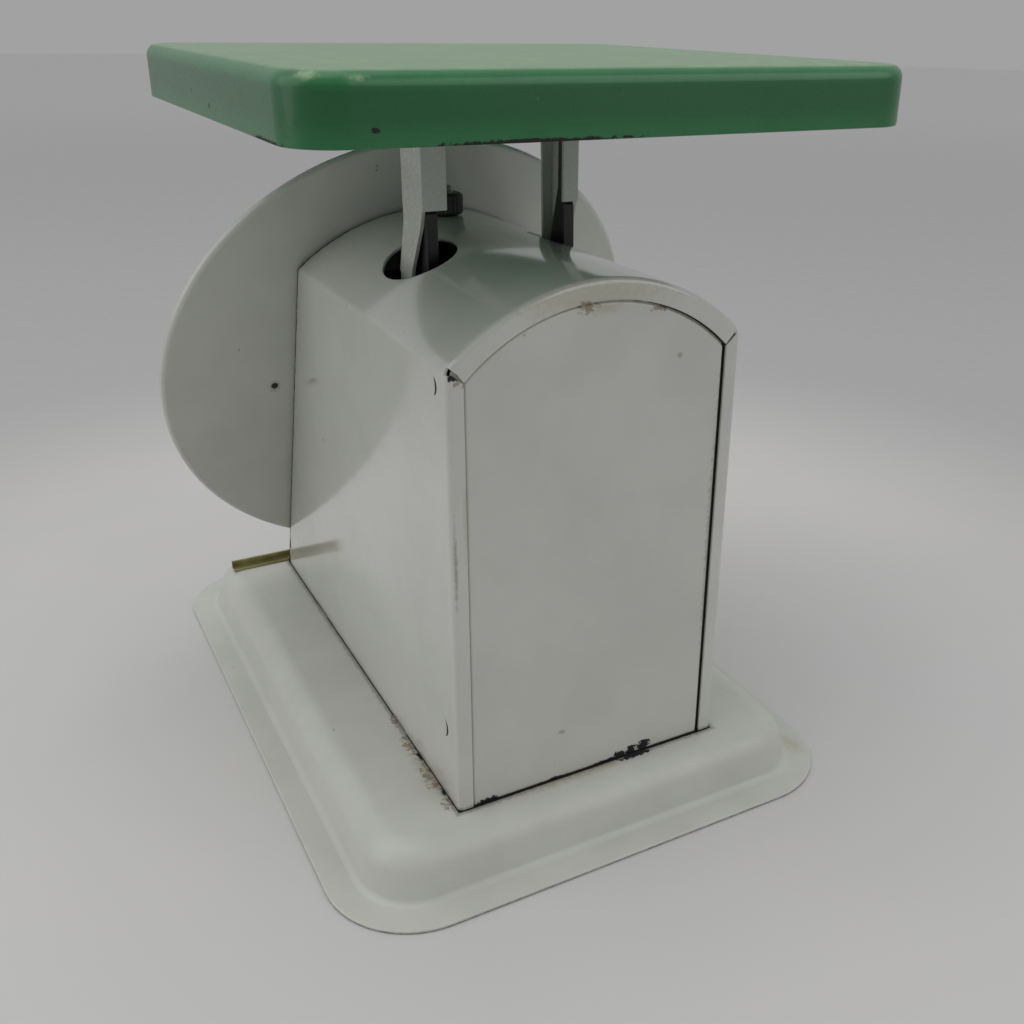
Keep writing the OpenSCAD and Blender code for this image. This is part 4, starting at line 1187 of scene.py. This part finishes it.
def sky_ramp(tree, value, low, high, start, end):
    """Smooth step of one coordinate of the sky's direction."""
    made = tree.nodes.new("ShaderNodeMapRange")
    made.interpolation_type = "SMOOTHSTEP"
    tree.links.new(value, made.inputs["Value"])
    numbers = {"From Min": low, "From Max": high, "To Min": start, "To Max": end}
    for socket, number in numbers.items():
        made.inputs[socket].default_value = number
    return made.outputs["Result"]


def make_world():
    """Even grey studio dome, brighter overhead and dimmer behind the camera."""
    world = bpy.data.worlds.new("studio")
    world.use_nodes = True
    tree = world.node_tree
    coords = tree.nodes.new("ShaderNodeTexCoord")
    split = tree.nodes.new("ShaderNodeSeparateXYZ")
    tree.links.new(coords.outputs["Generated"], split.inputs[0])
    grey = tree.nodes.new("ShaderNodeMath")
    grey.operation = "MULTIPLY"
    tree.links.new(sky_ramp(tree, split.outputs[2], 0.0, 0.9, 0.36, 0.66), grey.inputs[0])
    tree.links.new(sky_ramp(tree, split.outputs[1], -0.1, 0.9, 1.0, 0.55), grey.inputs[1])
    tree.links.new(grey.outputs[0], tree.nodes["Background"].inputs["Color"])
    bpy.context.scene.world = world


def make_light(name, place, aim, size, power):
    """Round area light aimed at a point."""
    light = bpy.data.lights.new(name, "AREA")
    light.shape = "DISK"
    light.size = size
    light.energy = power
    made = placed(name, light)
    made.location = place
    made.rotation_euler = (Vector(aim) - Vector(place)).to_track_quat("-Z", "Y").to_euler()


def make_camera():
    """Camera behind the scale and to its left, just above tray height, looking 23 degrees down."""
    look = Vector((-0.45273653, -0.80052966, -0.39266003))
    roll = math.radians(1.061)
    lens = bpy.data.cameras.new("camera")
    lens.lens = 38.57
    lens.sensor_width = 36
    lens.shift_x = -0.0618
    lens.shift_y = -0.0316
    lens.clip_start = 0.01
    camera = placed("camera", lens)
    turn = look.to_track_quat("-Z", "Y").to_matrix() @ Matrix.Rotation(roll, 3, "Z")
    camera.matrix_world = Matrix.Translation((0.145373, 0.337519, 0.236539)) @ turn.to_4x4()
    bpy.context.scene.camera = camera


def main():
    """Builds every piece, then the materials, floor, sky and lights."""
    make_camera()
    base = make_pans()
    shell = make_housing()
    make_housing_details()
    panel = make_back_panel()
    pan = make_dial_pan()
    make_ring()
    rivets = make_dial_rivets()
    make_dial_print()
    make_knob()
    make_rod()
    make_springs()
    dress(make_materials(), base, shell, panel, pan, rivets)
    make_floor()
    make_world()
    make_light("overhead", (0.25, 0.0, 1.3), (0, 0, 0.1), 1.3, 3.0)
    make_light("side", (1.3, -0.25, 0.7), (0, 0, 0.1), 1.45, 3.6)
    make_light("fill", (-0.9, 1.3, 0.9), (0, 0, 0.1), 1.4, 5.0)
    bpy.context.scene.view_settings.view_transform = "Standard"
    bpy.context.scene.view_settings.look = "None"


main()
bpy.context.view_layer.update()
